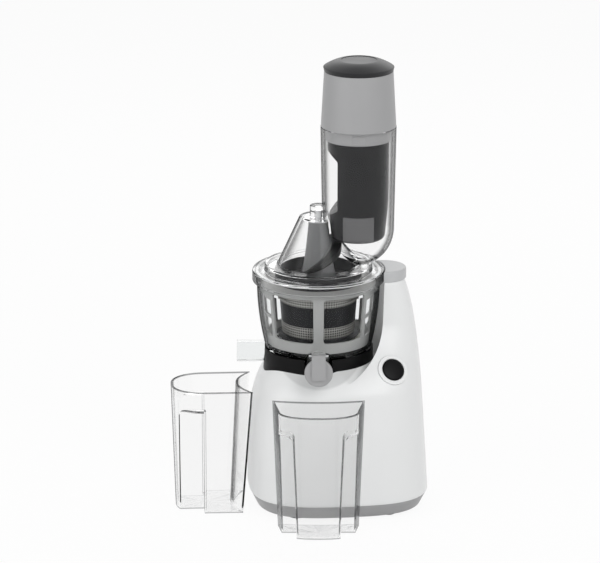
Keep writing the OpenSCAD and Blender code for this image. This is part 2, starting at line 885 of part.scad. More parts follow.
module motor_bearings()
    color("lightsteelblue") place() union() {
        tube(bearing_r, motor_shaft_r + fit_run, rear_z + bell_t, rear_z + bell_t + bearing_h);
        tube(bearing_r, motor_shaft_r + fit_run, case_z - bell_t - bearing_h, case_z - bell_t);
    }

module motor_mounts()
    color("black") place() around(4, mount_ring_r, 45) rod(mount_r, rear_z - mount_h, rear_z);

module motor_shaft()
    color("silver") place() union() {
        rod(motor_shaft_r, shaft_low_z, case_z + case_wall);
        rod(motor_tip_r, case_z, stage1_z + wheel_h + cut);
    }

module motor_rotor()
    color("slategray") place() tube(stator_bore_r - air_gap, motor_shaft_r, stator_z, stator_top_z);

module motor_pinion()
    color("goldenrod") place()
        gear(pinion_teeth, gear_mod, stage1_z - cut, wheel_h + 2*cut, motor_tip_r);

module cooling_fan()
    color("black") place() difference() {
        union() {
            rod(fan_hub_r, fan_z, fan_z + fan_h);
            rod(fan_r, fan_z, fan_z + fan_t);
            for (i = [0:fan_blades - 1])
                rotate([0, 0, i*360/fan_blades])
                    translate([fan_hub_r - fan_t, -fan_t/2, fan_z])
                        cube([fan_r - fan_hub_r, fan_t, fan_h]);
        }
        rod(motor_shaft_r, fan_z - cut, fan_z + fan_h + cut);
    }

// Board, switches and inlet
module control_board()
    color("darkgreen") place()
        translate([board_x - board_len/2, -board_wid/2, board_z])
            cube([board_len, board_wid, board_t]);

module board_parts()
    color("royalblue") place() translate([board_x, 0, board_z + board_t]) union() {
        translate([board_len/2 - capacitor_r - board_post_inset/2, board_wid/2 - capacitor_r - board_t, 0])
            cylinder(r = capacitor_r, h = capacitor_h);
        translate([-relay_len/2, -board_wid/2 + board_post_inset, 0])
            cube([relay_len, relay_wid, relay_h]);
    }

module switch_bezel()
    color("whitesmoke") place() at_switch() difference() {
        union() {
            translate([0, 0, -bezel_step])
                cylinder(r = bezel_d/2, h = bezel_step + bezel_inset);
            translate([0, 0, -bezel_step - bezel_t])
                cylinder(r = bezel_r0, h = bezel_step + bezel_t);
        }
        translate([0, 0, -bezel_step - bezel_t + bezel_inset])
            cylinder(r = button_d/2 + button_gap, h = recess_r);
        translate([0, 0, -bezel_step - bezel_t - cut])
            cylinder(r = switch_body_r - bezel_inset, h = 3*cut);
    }

module power_button()
    color("black") place() at_switch() union() {
        translate([0, 0, button_out - button_dome - button_h])
            cylinder(r = button_d/2, h = button_h);
        translate([0, 0, button_out - button_dome])
            turned([for (i = [0:arc_steps]) [button_d/2*sin(90*i/arc_steps), button_dome*cos(90*i/arc_steps)],
                [0, 0]]);
    }

module switch_body()
    color("dimgray") place() at_switch()
        translate([0, 0, -bezel_step - bezel_t - switch_body_h])
            cylinder(r = switch_body_r, h = switch_body_h);

module lid_switch()
    color("dimgray") place()
        translate([recess_r + shell_wall, tower_y - lid_switch_len/2, tower_z - shell_wall - lid_switch_h])
            cube([lid_switch_wid, lid_switch_len, lid_switch_h]);

module cord_inlet()
    color("black") place()
        translate(inlet_at - [0, 2*shell_wall, 0])
            rotate([-90, 0, 0])
                difference() {
                    union() {
                        cylinder(r = inlet_r, h = inlet_len);
                        translate([0, 0, inlet_len - inlet_flange_t])
                            cylinder(r = inlet_flange_r, h = inlet_flange_t);
                    }
                    translate([0, 0, -cut])
                        cylinder(r = inlet_bore_r, h = inlet_len + 2*cut);
                }

// Juicing bowl
function bowl_r(z) = mix(bowl_foot_r, bowl_rim_r,
    1 - pow(1 - clamp01((z - bowl_rise_z)/(lip_z - bowl_rise_z)), bowl_power));
bowl_steps = 10;
bowl_levels = [for (i = [0:bowl_steps]) mix(bowl_rise_z, lip_z, i/bowl_steps)];
module hinge_ear(x)
    translate([x, hinge_y, hinge_z])
        union() {
            rotate([0, 90, 0])
                cylinder(r = hinge_r, h = hinge_ear_t);
            translate([0, -hinge_y - spout_reach, -hinge_z + spout_z + spout_d/4])
                cube([hinge_ear_t, spout_reach + hinge_y + hinge_r, hinge_z - spout_z - spout_d/4]);
        }
module juicing_bowl()
    color([0.7, 0.7, 0.7, 0.5]) place() difference() {
        union() {
            turned(concat([[bowl_foot_r, bowl_foot_z]], [for (z = bowl_levels) [bowl_r(z), z]],
                [[lip_r, lip_z + cut], [lip_r, bowl_top], [lip_r - bowl_wall, bowl_top],
                 [lip_r - bowl_wall, lip_z + bowl_wall]],
                [for (i = [bowl_steps:-1:0]) [bowl_r(bowl_levels[i]) - bowl_wall, bowl_levels[i]]],
                [[bowl_foot_r - bowl_wall, bowl_foot_z]]));
            turned([[step_r, step_z - step_t], [bowl_r(step_z) - bowl_wall/2, step_z - 2*step_t],
                [bowl_r(step_z) - bowl_wall/2, step_z], [step_r, step_z]]);
            tube(bowl_foot_r - bowl_wall/2, neck_r - bowl_wall, bowl_floor_z - bowl_floor_t, bowl_floor_z);
            tube(neck_r, out_r + fit_run, bowl_floor_z - bowl_floor_t, neck_top_z);
            tube(neck_r, neck_r - bowl_wall, bowl_floor_z - bowl_floor_t - seal_boss_h,
                bowl_floor_z - bowl_floor_t);
            tube(rail_r, rail_r - rail_wall, bowl_floor_z - cut, cage_z - fit_seat);
            difference() {
                translate([0, -bowl_foot_r + bowl_wall, spout_z])
                    rotate([90, 0, 0])
                        cylinder(r = spout_d/2, h = spout_reach - bowl_foot_r + bowl_wall);
                rod(cage_r0 + rest_gap, bowl_floor_z, bowl_top);
            }
            translate([-outlet_inner_x, 0, outlet_z])
                rotate([0, -90, 0])
                    cylinder(r = outlet_d/2, h = outlet_reach - outlet_inner_x);
            translate([-chute_x0 - chute_wall, -chute_w/2, outlet_z])
                cube([chute_x0 - chute_x1 + 2*chute_wall, chute_w, chute_top_z - outlet_z]);
            translate([idler_x, 0, 0])
                rod(idler_pin_r + bowl_wall, bowl_floor_z - bowl_floor_t, brush_gear_z - fit_seat);
            hinge_ear(tongue_wid/2 + fit_seat);
            hinge_ear(-tongue_wid/2 - fit_seat - hinge_ear_t);
        }
        translate([0, -bowl_r(spout_z) - spout_wall, spout_z])
            rotate([90, 0, 0])
                cylinder(r = spout_d/2 - spout_wall, h = spout_reach);
        translate([-slot_wid/2, -bowl_rim_r, bowl_floor_z])
            cube([slot_wid, bowl_rim_r - slot_y, slot_h]);
        translate([-outlet_inner_x + cut, 0, outlet_z])
            rotate([0, -90, 0])
                cylinder(r = outlet_d/2 - outlet_wall, h = outlet_reach);
        translate([-chute_x0, -chute_w/2 + chute_wall, outlet_z])
            cube([chute_x0 - chute_x1, chute_w - 2*chute_wall, chute_top_z - outlet_z + cut]);
        translate([idler_x, 0, 0])
            rod(idler_pin_r, bowl_floor_z - bowl_floor_t + cut, brush_gear_z);
        translate([-tongue_wid, hinge_y, hinge_z])
            rotate([0, 90, 0])
                cylinder(r = hinge_pin_r, h = 2*tongue_wid);
    }

module bowl_shaft_seal()
    color("dimgray") place()
        tube(neck_r - bowl_wall, out_r + fit_run, bowl_floor_z - bowl_floor_t - seal_boss_h,
            bowl_floor_z - bowl_floor_t);

module pulp_plug()
    color("dimgray") place()
        translate([-outlet_inner_x, 0, outlet_z])
            rotate([0, -90, 0])
                cylinder(r = outlet_d/2 - outlet_wall, h = 2*outlet_wall);

module idler_pin()
    color("silver") place()
        translate([idler_x, 0, bowl_floor_z - bowl_floor_t + cut])
            cylinder(r = idler_pin_r, h = idler_pin_h);

module idler_gear()
    color("lightgray") place() translate([idler_x, 0, 0])
        gear(idler_teeth, brush_mod, brush_gear_z, brush_gear_h, idler_pin_r + fit_run, 180/idler_teeth);

module auger_gear()
    color("lightgray") place()
        gear(sun_teeth, brush_mod, brush_gear_z, brush_gear_h, neck_r + fit_slide);

// Strainer
function strainer_r(z) = mix(strainer_r0, strainer_r1, (z - strainer_z)/(step_z - strainer_z));
module band_cut(band, grow)
    for (i = [0:band_count - 1])
        rotate([0, 0, (i + half_step)*360/band_count + band_rib/2])
            rotate_extrude(angle = 360/band_count - band_rib)
                polygon([[strainer_r(band[0]) - strainer_wall - grow, band[0]],
                    [strainer_r(band[0]) + cut, band[0]], [strainer_r(band[1]) + cut, band[1]],
                    [strainer_r(band[1]) - strainer_wall - grow, band[1]]]);

module strainer_frame()
    color([0.2, 0.2, 0.2]) place() difference() {
        turned([[strainer_hole_r, strainer_z], [strainer_r0 - strainer_wall, strainer_z],
            [foot_collar_r - strainer_wall, strainer_z], [foot_collar_r, strainer_z + foot_collar_h/2],
            [strainer_r(strainer_z + foot_collar_h), strainer_z + foot_collar_h],
            [strainer_r(step_z), step_z], [bowl_rim_r - bowl_wall - rest_gap, step_z],
            [bowl_rim_r - bowl_wall - rest_gap, step_z + flange_t], [mouth_r, step_z + flange_t],
            [mouth_r, mouth_z], [mouth_r - strainer_wall, mouth_z],
            [mouth_r - strainer_wall, step_z + flange_t],
            [strainer_r(step_z + flange_t) - strainer_wall, step_z + flange_t],
            [strainer_r(strainer_z + strainer_floor_t) - strainer_wall, strainer_z + strainer_floor_t],
            [strainer_hole_r, strainer_z + strainer_floor_t]]);
        band_cut(low_band, cut);
        band_cut(high_band, cut);
        translate([-chute_x0 + 2*chute_wall, -chute_w/2 + chute_wall, strainer_z - cut])
            cube([chute_x0 - chute_x1 - 2*chute_wall, chute_w - 2*chute_wall, strainer_floor_t + 2*cut]);
    }

module mesh_sleeve(z0, z1)
    turned([[strainer_r(z0) - strainer_wall - mesh_t, z0], [strainer_r(z0) - strainer_wall - fit_run, z0],
        [strainer_r(z1) - strainer_wall - fit_run, z1], [strainer_r(z1) - strainer_wall - mesh_t, z1]]);

module strainer_mesh()
    color("silver") place() union() {
        mesh_sleeve(low_band[0] - cut, low_band[1] + cut);
        mesh_sleeve(high_band[0] - cut, high_band[1] + cut);
    }

// Brush cage
function cage_r(z) = mix(cage_r0, cage_r1, (z - cage_z)/(cage_top_z - cage_z));
function bar_half(i) = (i % (bar_count/2) == 0 ? strap_wid : bar_wid)/cage_r0*180/PI/2;
module cage_windows(z0, z1, sides)
    for (i = [0:bar_count - 1])
        if ((i % (bar_count/2) == 1) == sides)
            rotate([0, 0, 90 + i*360/bar_count + bar_half(i)])
                rotate_extrude(angle = 360/bar_count - bar_half(i) - bar_half(i + 1))
                    translate([cage_r0 - cage_ring_wall - cut, z0])
                        square([cage_r1 - cage_r0 + cage_ring_wall + 2*cut, z1 - z0]);

module brush_cage()
    color("silver") place() difference() {
        union() {
            turned([[cage_r0 - cage_ring_wall, cage_z], [cage_r0, cage_z],
                [cage_r1, cage_top_z], [cage_r1, cage_top_z + cage_top_h],
                [cage_r1 - cage_wall, cage_top_z + cage_top_h], [cage_r1 - cage_wall, cage_top_z],
                [cage_r(cage_z + cage_ring_h) - cage_wall, cage_z + cage_ring_h - cut],
                [cage_r0 - cage_ring_wall, cage_z + brush_gear_h + cut]]);
            translate([0, 0, brush_gear_z])
                difference() {
                    cylinder(r = cage_r0 - cage_ring_wall/2, h = brush_gear_h);
                    rotate([0, 0, 180/cage_teeth])
                        translate([0, 0, -cut])
                            linear_extrude(height = brush_gear_h + 2*cut)
                                polygon(gear_outline(cage_teeth, brush_mod, -tooth_thin_share,
                                    root_share, tip_share));
                }
        }
        cage_windows(cage_z + cage_ring_h, cage_top_z + cage_top_h - cage_rim_t, false);
        cage_windows(cage_z + cage_ring_h, cage_mid_z, true);
        cage_windows(cage_mid_z + cage_mid_h, cage_top_z - cage_side_drop, true);
    }

module brush_wipers()
    color([0.35, 0.35, 0.35]) place() for (a = [-90, 90])
        rotate([0, 0, a])
            rotate([90, 0, 0])
                translate([0, 0, -wiper_t/2])
                    linear_extrude(height = wiper_t)
                        polygon([[strainer_r(low_band[0]) + cut + wiper_gap, low_band[0]],
                            [cage_r(low_band[0]) - cage_wall - fit_run, low_band[0]],
                            [cage_r(cage_top_z) - cage_wall - fit_run, cage_top_z],
                            [strainer_r(cage_top_z) + wiper_gap, cage_top_z]]);

// Auger: a core with a two-start screw and one long knife flight at its top
function core_r(z) = z < step_z
    ? mix(auger_low_r, auger_mid_r, clamp01((z - strainer_z)/(step_z - strainer_z)))
    : mix(auger_mid_r, shaft_r, pow(clamp01((z - step_z)/(auger_top_z - step_z)), shaft_power));
core_levels = [for (i = [0:core_steps]) mix(step_z, auger_top_z, i/core_steps)];
module flight(z0, z1, r0, r1, t0, t1, start, turns) {
    steps = flight_steps;
    function ring_at(i) =
        let(s = i/steps, a = start + s*360*turns, z = mix(z0, z1, s), t = mix(t0, t1, s),
            inner = core_r(z) - flight_t, outer = mix(r0, r1, s))
        [[inner*cos(a), inner*sin(a), z], [outer*cos(a), outer*sin(a), z],
         [outer*cos(a), outer*sin(a), z + t], [inner*cos(a), inner*sin(a), z + t]];
    rings = [for (i = [0:steps]) ring_at(i)];
    points = [for (r = rings) each r];
    sides = [for (i = [0:steps - 1]) for (j = [0:3]) let(k = (j + 1) % 4) each
        [[i*4 + j, (i + 1)*4 + k, (i + 1)*4 + j], [i*4 + j, i*4 + k, (i + 1)*4 + k]]];
    ends = [[0, 2, 1], [0, 3, 2], [steps*4, steps*4 + 1, steps*4 + 2], [steps*4, steps*4 + 2, steps*4 + 3]];
    polyhedron(points = points, faces = concat(sides, ends), convexity = 10);
}

module auger()
    color("gray") place() difference() {
        union() {
            turned(concat([[0, auger_hub_z], [auger_hub_r, auger_hub_z],
                [auger_hub_r, strainer_z + strainer_floor_t + cut],
                [auger_low_r, strainer_z + strainer_floor_t + 2*cut]],
                [for (z = core_levels) [core_r(z), z]],
                [[pin_r, auger_top_z], [pin_r, auger_top_z + pin_h], [0, auger_top_z + pin_h]]));
            for (start = flight_starts)
                flight(strainer_z + strainer_floor_t + 2*cut, step_z - 2*flight_t,
                    strainer_r(strainer_z) - strainer_wall - flight_gap - mesh_t,
                    strainer_r(step_z) - strainer_wall - flight_gap - 2*mesh_t, flight_t, flight_t/2,
                    start, flight_turns);
            flight(step_z - flight_t, knife_top_z - flight_t, knife_r, knife_top_r, flight_t, flight_t/2,
                knife_start, knife_turns);
        }
        rod(neck_r + fit_slide, auger_hub_z - cut, socket_z);
        rod(socket_r, socket_z - cut, socket_z + socket_h);
    }

module auger_socket()
    color("silver") place() difference() {
        rod(socket_r, socket_z, socket_z + socket_h);
        translate([0, 0, socket_z - cut])
            cylinder(r = (hex_af/2 + hex_gap)*2/sqrt(3), h = socket_h, $fn = 6);
    }

// Juice cap, hinged above the spout
module juice_cap()
    color("darkgray") place() difference() {
        union() {
            translate([0, -spout_reach - fit_seat, spout_z])
                rotate([90, 0, 0])
                    cylinder(r = cap_disc, h = cap_t);
            translate([-tongue_wid/2, -spout_reach - fit_seat - cap_t - tongue_t, spout_z - tongue_wid/2])
                cube([tongue_wid, cap_t + tongue_t, hinge_z - spout_z + tongue_wid/2 + hinge_r]);
            translate([-tongue_wid/2, -spout_reach - fit_seat - cap_t, hinge_z - hinge_r])
                cube([tongue_wid, spout_reach + fit_seat + cap_t + hinge_y, 2*hinge_r]);
            translate([-tongue_wid/2, hinge_y, hinge_z])
                rotate([0, 90, 0])
                    cylinder(r = hinge_r, h = tongue_wid);
        }
        translate([-tongue_wid, hinge_y, hinge_z])
            rotate([0, 90, 0])
                cylinder(r = hinge_pin_r + fit_run, h = 2*tongue_wid);
    }

module juice_cap_seal()
    color("gainsboro") place() union() {
        translate([0, -spout_reach - fit_seat + plug_h, spout_z])
            rotate([90, 0, 0])
                cylinder(r = spout_d/2 - spout_wall - fit_slide, h = plug_h);
    }

module spout_hinge_pin()
    color("silver") place() union() {
        translate([-tongue_wid/2 - hinge_ear_t, hinge_y, hinge_z])
            rotate([0, 90, 0])
                cylinder(r = hinge_pin_r, h = tongue_wid + 2*hinge_ear_t);
    }

// Lid with its feed tube
lid_outer = [[0, skirt_z], [flange_r, skirt_z], [flange_r, flange_top], [raised_r, flange_top],
    [raised_r, raised_top], [cone_r, raised_top], [cone_top_r, cone_top], [0, cone_top]];
lid_inner = [[0, skirt_z - cut], [flange_r - lid_wall + fit_seat, skirt_z - cut],
    [flange_r - lid_wall + fit_seat, plate_z],
    [raised_r - lid_wall, plate_z], [raised_r - lid_wall, raised_top - lid_wall],
    [cone_r - lid_wall, raised_top - lid_wall], [cone_top_r - lid_wall, cone_top - lid_wall],
    [0, cone_top - lid_wall]];
function round_bottom(r, h, top) = [for (i = [0:arc_steps])
    let(a = 90*i/arc_steps) [r*sin(a), top - h*cos(a)]];
module feed_solid(wall, extra)
    translate([feed_x, 0, 0])
        turned(concat(round_bottom(feed_low_r - wall, feed_round_h - wall, feed_round_z),
            [[feed_r - wall, feed_top + extra], [0, feed_top + extra]]));

module lid()
    color([0.85, 0.85, 0.85, 0.4]) place() difference() {
        union() {
            turned(lid_outer);
            feed_solid(0, 0);
            rod(peg_r, cone_top - cut, cone_top + peg_h);
        }
        turned(lid_inner);
        feed_solid(lid_wall, cut);
        rod(pin_r + fit_run, cone_top - lid_wall - cut, auger_top_z + pin_h + cut);
    }

module lid_seal()
    color("gainsboro") place()
        tube(lip_r, lip_r - bowl_wall, bowl_top + fit_run, plate_z - fit_run);

// Pusher
module at_feed()
    translate([feed_x, 0, 0])
        children();

module rod_flat(grow)
    rotate([90, 0, 0])
        translate([0, 0, -rod_r1 - cut])
            linear_extrude(height = 2*(rod_r1 + cut))
                polygon([[-2*rod_r1, rod_flat_z - rod_flat_rise - grow],
                    [grow - rod_flat_x, rod_flat_z - grow],
                    [grow - rod_flat_x, rod_flat_z + rod_flat_h + grow],
                    [-2*rod_r1, rod_flat_z + rod_flat_h + rod_flat_rise + grow]]);

module pusher_rod()
    color([0.2, 0.2, 0.2]) place() at_feed() difference() {
        turned([
            [0, rod_bottom_z], [rod_r0, rod_bottom_z], [rod_mid_r, rod_mid_z], [rod_r1, feed_top - collar_h],
            [rod_r1, push_z], [0, push_z]]);
        rod_flat(0);
        difference() {
            turned([
                [0, rod_bottom_z + rod_wall], [rod_r0 - rod_wall, rod_bottom_z + rod_wall],
                [rod_mid_r - rod_wall, rod_mid_z], [rod_r1 - rod_wall, feed_top - collar_h],
                [rod_r1 - rod_wall, push_z + cut], [0, push_z + cut]]);
            rod_flat(rod_wall);
        }
    }

module pusher_foot()
    color("dimgray") place() at_feed() turned(concat(
        [[0, rod_bottom_z]],
        [for (i = [0:arc_steps]) let(a = 90*i/arc_steps)
            [rod_r0 - rod_foot_h*(1 - cos(a)), rod_bottom_z - rod_foot_h*sin(a)]],
        [[0, rod_bottom_z - rod_foot_h]]));

module pusher_collar()
    color("gray") place() at_feed() turned([
        [rod_r1 + fit_run, feed_top - collar_h], [collar_r, feed_top - collar_h],
        [collar_r, push_z + hood_wall], [rod_r1 - rod_wall, push_z + hood_wall],
        [rod_r1 - rod_wall, push_z + fit_run], [rod_r1 + fit_run, push_z + fit_run]]);

module pusher_hood()
    color("darkgray") place() at_feed() turned([
        [collar_r + fit_run, push_z], [hood_r0, push_z], [hood_r1, push_z + hood_h],
        [hood_r1 - hood_wall, push_z + hood_h], [hood_r0 - hood_wall, push_z + hood_wall],
        [collar_r + fit_run, push_z + hood_wall]]);

cap_z = push_z + hood_h;
function dome_z(r) = cap_z + cap_edge_h
    + (cap_h - cap_edge_h)*(1 - pow((r - cap_disc_r)/cap_rim_wid, dome_power));
module pusher_cap()
    color("black") place() at_feed() turned(concat(
        [[0, cap_z], [hood_r1, cap_z], [cap_r, cap_z + cap_edge_h]],
        [for (i = [1:arc_steps]) let(r = mix(cap_r, cap_disc_r, i/arc_steps)) [r, dome_z(r)]],
        [[cap_disc_r - cap_disc_dip, cap_z + cap_h - cap_disc_dip], [0, cap_z + cap_h - cap_disc_dip]]));

// Cups: clear beakers with a hollow back, a bowed front and two finger grips
module cup_skin(rim, shares, lean, h, inset, z0, extra)
    skin([for (e = [[z0, z0/h], [h + extra, 1]])
        [for (p = cup_section(rim, shares, lean, e[1], inset)) [p.x, p.y, e[0]]]]);

module grips(gx, gy, h, grow)
    for (side = [0, 1])
        mirror([side, 0, 0])
            translate([gx - grow, -gy + grow, 0])
                rotate([90, 0, 0])
                    linear_extrude(height = h)
                        polygon(concat(
                            [for (i = [0:grip_steps]) let(r = grip_round + grow, a = 90*i/grip_steps)
                                [r*(1 - cos(a)), h - grip_drop + grow - r*(1 - sin(a))]],
                            [[h, h - grip_drop + grow], [h, -cut - grow], [0, -cut - grow]]));

module cup(rim, shares, lean, h, gx, gy)
    difference() {
        cup_skin(rim, shares, lean, h, 0, 0, 0);
        grips(gx, gy, h, 0);
        difference() {
            cup_skin(rim, shares, lean, h, cup_wall, cup_floor_t, cut);
            grips(gx, gy, h, cup_wall);
        }
    }

module juice_cup()
    color([0.9, 0.9, 0.9, 0.4]) place()
        translate(juice_at)
            cup(juice_rim, juice_foot_shares, juice_lean, juice_cup_h, juice_grip_x, juice_grip_y);

module pulp_cup()
    color([0.9, 0.9, 0.9, 0.4]) place()
        translate(pulp_at)
            rotate([0, 0, pulp_turn])
                cup(pulp_rim, pulp_foot_shares, pulp_lean, pulp_cup_h, pulp_grip_x, pulp_grip_y);

main_housing();
latch_cap();
base_ring();
base_plate();
rubber_feet();
base_screws();
bowl_seat();
gearbox_case();
gearbox_lid();
gearbox_screws();
output_bushing();
output_seal();
gear_pin();
motor_front_bell();
motor_rear_bell();
motor_stator();
motor_windings();
motor_bearings();
motor_mounts();
control_board();
board_parts();
switch_bezel();
switch_body();
lid_switch();
cord_inlet();
power_button();
output_shaft();
output_gear();
layshaft_gear();
layshaft_pinion();
motor_shaft();
motor_rotor();
motor_pinion();
cooling_fan();
juicing_bowl();
bowl_shaft_seal();
pulp_plug();
spout_hinge_pin();
idler_pin();
strainer_frame();
strainer_mesh();
idler_gear();
brush_cage();
brush_wipers();
auger();
auger_socket();
auger_gear();
juice_cap();
juice_cap_seal();
lid_seal();
lid();
pusher_rod();
pusher_foot();
pusher_collar();
pusher_hood();
pusher_cap();
juice_cup();
pulp_cup();
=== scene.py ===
import math

import bmesh
import bpy
from bpy.props import FloatProperty, FloatVectorProperty, PointerProperty
from bpy.types import Operator, Panel, PropertyGroup
from mathutils import Matrix, Vector


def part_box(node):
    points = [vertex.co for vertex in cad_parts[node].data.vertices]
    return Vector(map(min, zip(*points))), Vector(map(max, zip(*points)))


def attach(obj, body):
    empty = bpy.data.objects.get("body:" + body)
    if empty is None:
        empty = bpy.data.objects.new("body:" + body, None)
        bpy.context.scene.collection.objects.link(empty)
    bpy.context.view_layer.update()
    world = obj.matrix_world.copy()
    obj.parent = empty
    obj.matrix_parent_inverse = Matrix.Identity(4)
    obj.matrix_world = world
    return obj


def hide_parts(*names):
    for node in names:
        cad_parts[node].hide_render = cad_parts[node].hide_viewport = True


bl_info = {
    "name": "Cold Press Juicer",
    "version": (1, 0, 0),
    "blender": (4, 5, 0),
    "location": "3D View > Sidebar > Juicer",
    "description": "Builds the looks of a cold press juicer around its packed model",
    "category": "Object",
}

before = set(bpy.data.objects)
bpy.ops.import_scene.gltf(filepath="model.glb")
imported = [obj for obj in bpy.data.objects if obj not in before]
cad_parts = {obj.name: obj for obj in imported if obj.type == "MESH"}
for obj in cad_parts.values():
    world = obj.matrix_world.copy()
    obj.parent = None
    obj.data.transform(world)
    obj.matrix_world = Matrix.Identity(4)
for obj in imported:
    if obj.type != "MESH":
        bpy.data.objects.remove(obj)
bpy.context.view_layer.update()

# Lengths below are in millimetres: X and Y from the drive's axis, which runs
# through the middle of the round lid seal, and Z from the table.
MM = 0.001
seal_low, seal_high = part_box("lid_seal")
AXIS = (seal_low + seal_high) / 2
FULL = 2 * math.pi
QUARTER = math.pi / 2
ROUND_STEPS = 160
FILLET_STEPS = 5
SHARP = math.radians(34)

# White body
SHELL_Z, TOWER_Z = 19.0, 253.0
SHELL_SHIFT, SHELL_Y, TOWER_Y = 21.0, 2.0, 4.0
SHELL_TURN = math.radians(5.5)
TOWER_LEAN, TOWER_ROUND, TOWER_FLARE, FRONT_LEAN = 13.5, 12.0, 26.0, 17.6
LEFT_Z, LEFT_TOP_Z, LEFT_TOP_X = 20.0, 220.0, 20.0
WAIST_Z, WAIST_TOP_Z = 138.0, 212.0
FOOT_POWER, TOP_POWER, LEFT_POWER, SHOULDER_POWER, WAIST_POWER = 3.0, 2.8, 4.2, 6.0, 0.85
BODY_WALL, TROUGH_GAP, FIT = 3.0, 0.5, 0.3
DECK_Z, DECK_HOLE_R = 152.0, 14.0
SEAT_R, SEAT_TOP, SEAT_FLOOR, SEAT_T = 60.0, 178.0, 162.7, 3.0
SWITCH_ANGLE, SWITCH_Z, SWITCH_DEPTH = math.radians(-63), 164.1, 7.0
INLET_ANGLE, INLET_Z, INLET_R, INLET_LIP_R = math.radians(72), 40.0, 8.0, 10.8
FOOT_X, FOOT_Y, FOOT_R, FOOT_H = 50.0, 55.0, 9.0, 4.0
LATCH_X, LATCH_Y, LATCH_R, LATCH_H = 71.0, 10.0, 25.0, 11.8

# Bowl
FOOT_Z, BOWL_TOP = 166.0, 261.5
RISE_Z, LIP_Z, STEP_Z = 171.6, 252.0, 250.0
FLOOR_Z, UNDER_Z = 179.0, 176.0
RING_OUT, RING_IN, RING_Z = 53.0, 50.6, 183.7
HUB_R, HUB_Z, BORE_R, SEAL_R, SEAL_Z = 11.0, 192.0, 7.05, 8.4, 170.0
IDLER_X = 31.5
SPOUT_Y, SPOUT_Z, SPOUT_LENGTH, SPOUT_WALL = -53.6, 175.0, 36.4, 2.4
OUTLET_X, OUTLET_Z, OUTLET_LENGTH, OUTLET_WALL = -26.0, 171.0, 63.0, 2.0
HINGE_Y, HINGE_Z, HINGE_R, PIN_R = -89.0, 193.1, 2.6, 1.2
CAP_R, CAP_T, CAP_Y, TONGUE_HALF, TONGUE_TOP = 15.2, 4.5, -90.3, 7.5, 195.7

# Strainer and cage
STRAINER_Z, STRAINER_WALL, FLANGE_T, STRAINER_HOLE_R = 191.0, 2.0, 2.5, 20.5
MESH_ROWS = ((196.0, 208.0), (232.0, 246.0))
MOUTH_R, MOUTH_Z = 47.0, 266.0
CAGE_Z, CAGE_TOP, CAGE_RIM, CAGE_WALL, CAGE_HOLE_R = 184.0, 240.0, 249.4, 2.4, 49.5
BAR_ANGLES = (0, 58, 90, 122, 180, 238, 270, 302, 360)
WINDOW_LOW, FRONT_TOP, SIDE_TOP, BELT_LOW, BELT_TOP = 196.0, 246.5, 238.0, 216.8, 219.8

# Band round the recess, painted shade that darkens the white body
SHADE_BAND_HALF, SHADE_BAND_CENTRE, SHADE_BAND_DROP = 68.8, 224.0, 76.5

# Auger
AUGER_Z, AUGER_R, AUGER_TOP, PEG_R, PEG_TOP = 190.0, 20.0, 318.5, 3.4, 330.5
CORE_FOOT_R, CORE_R, CORE_TOP_R = 30.0, 24.0, 10.6
SCREW_LOW, SCREW_TOP, SCREW_LOW_R, SCREW_TOP_R, KNIFE_TOP = 196.0, 246.0, 35.6, 39.5, 294.0

# Lid
LID_Z, LID_ROOM, FLANGE_TOP = 253.2, 263.0, 264.8
RISER_R, RISER_TOP = 58.6, 272.1
CONE_R, CONE_TOP_R, CONE_TOP = 44.4, 20.4, 324.7
KNOB_R, KNOB_TOP = 9.3, 336.7
FEED_X, FEED_BEND, FEED_ROUND = 43.0, 312.1, 42.0

# Pusher, its heights measured down or up from the feed tube's mouth
ROD_R, ROD_BEND_R, ROD_FOOT_R, ROD_DROP, BEND_DROP = 33.4, 32.7, 29.4, 119.0, 85.0
FLAT_X, FLAT_DROP, FLAT_TOP_DROP, FLAT_SLANT = 22.4, 89.0, 34.0, 40.0
COLLAR_R, COLLAR_DROP, COLLAR_LIFT = 35.4, 14.0, 0.3
HOOD_RISE, HOOD_TAPER, PUSHER_WALL = 61.3, 3.4, 2.5
FOOT_ROUND, PANEL_HALF, PANEL_H, DISC_R = 6.0, 16.5, 24.4, 19.8

# Cups, at the rim: depth of the sides, depth of the bow, hollow of the back and width of the bow.
# The shares of the width and of these four are what is left of them at the foot.
JUICE_RIM, JUICE_SHARES = (36.5, 25.5, 5.5, 88.0), (0.88, 0.72, 0.71, 0.55, 0.89)
PULP_RIM, PULP_SHARES = (50.0, 38.2, 15.0, 73.0), (0.955, 0.8, 0.86, 0.72, 0.95)
JUICE_LEAN, JUICE_GRIP, PULP_LEAN, PULP_GRIP = 15.0, (23.5, 38.0), 11.0, (19.0, 53.0)
CUP_FLOOR, CUP_LEVELS = 2.5, 16
GRIP_DROP, GRIP_ROUND, GRIP_LEAN = 23.5, 6.0, 4.5


def linear(code):
    """Turns an sRGB hex colour into linear RGBA."""
    parts = [int(code[i:i + 2], 16) / 255 for i in (0, 2, 4)]
    return [p / 12.92 if p <= 0.04045 else ((p + 0.055) / 1.055) ** 2.4 for p in parts] + [1.0]


def length(name, description, millimetres):
    """A size of the juicer, in Blender's own unit of length."""
    return FloatProperty(name=name, description=description, default=millimetres * MM, min=0.0,
                         precision=4, unit="LENGTH", subtype="DISTANCE")


def colour(name, description, code):
    """A colour of the juicer, written as sRGB hex."""
    return FloatVectorProperty(name=name, description=description, default=linear(code),
                               size=4, min=0.0, max=1.0, subtype="COLOR")


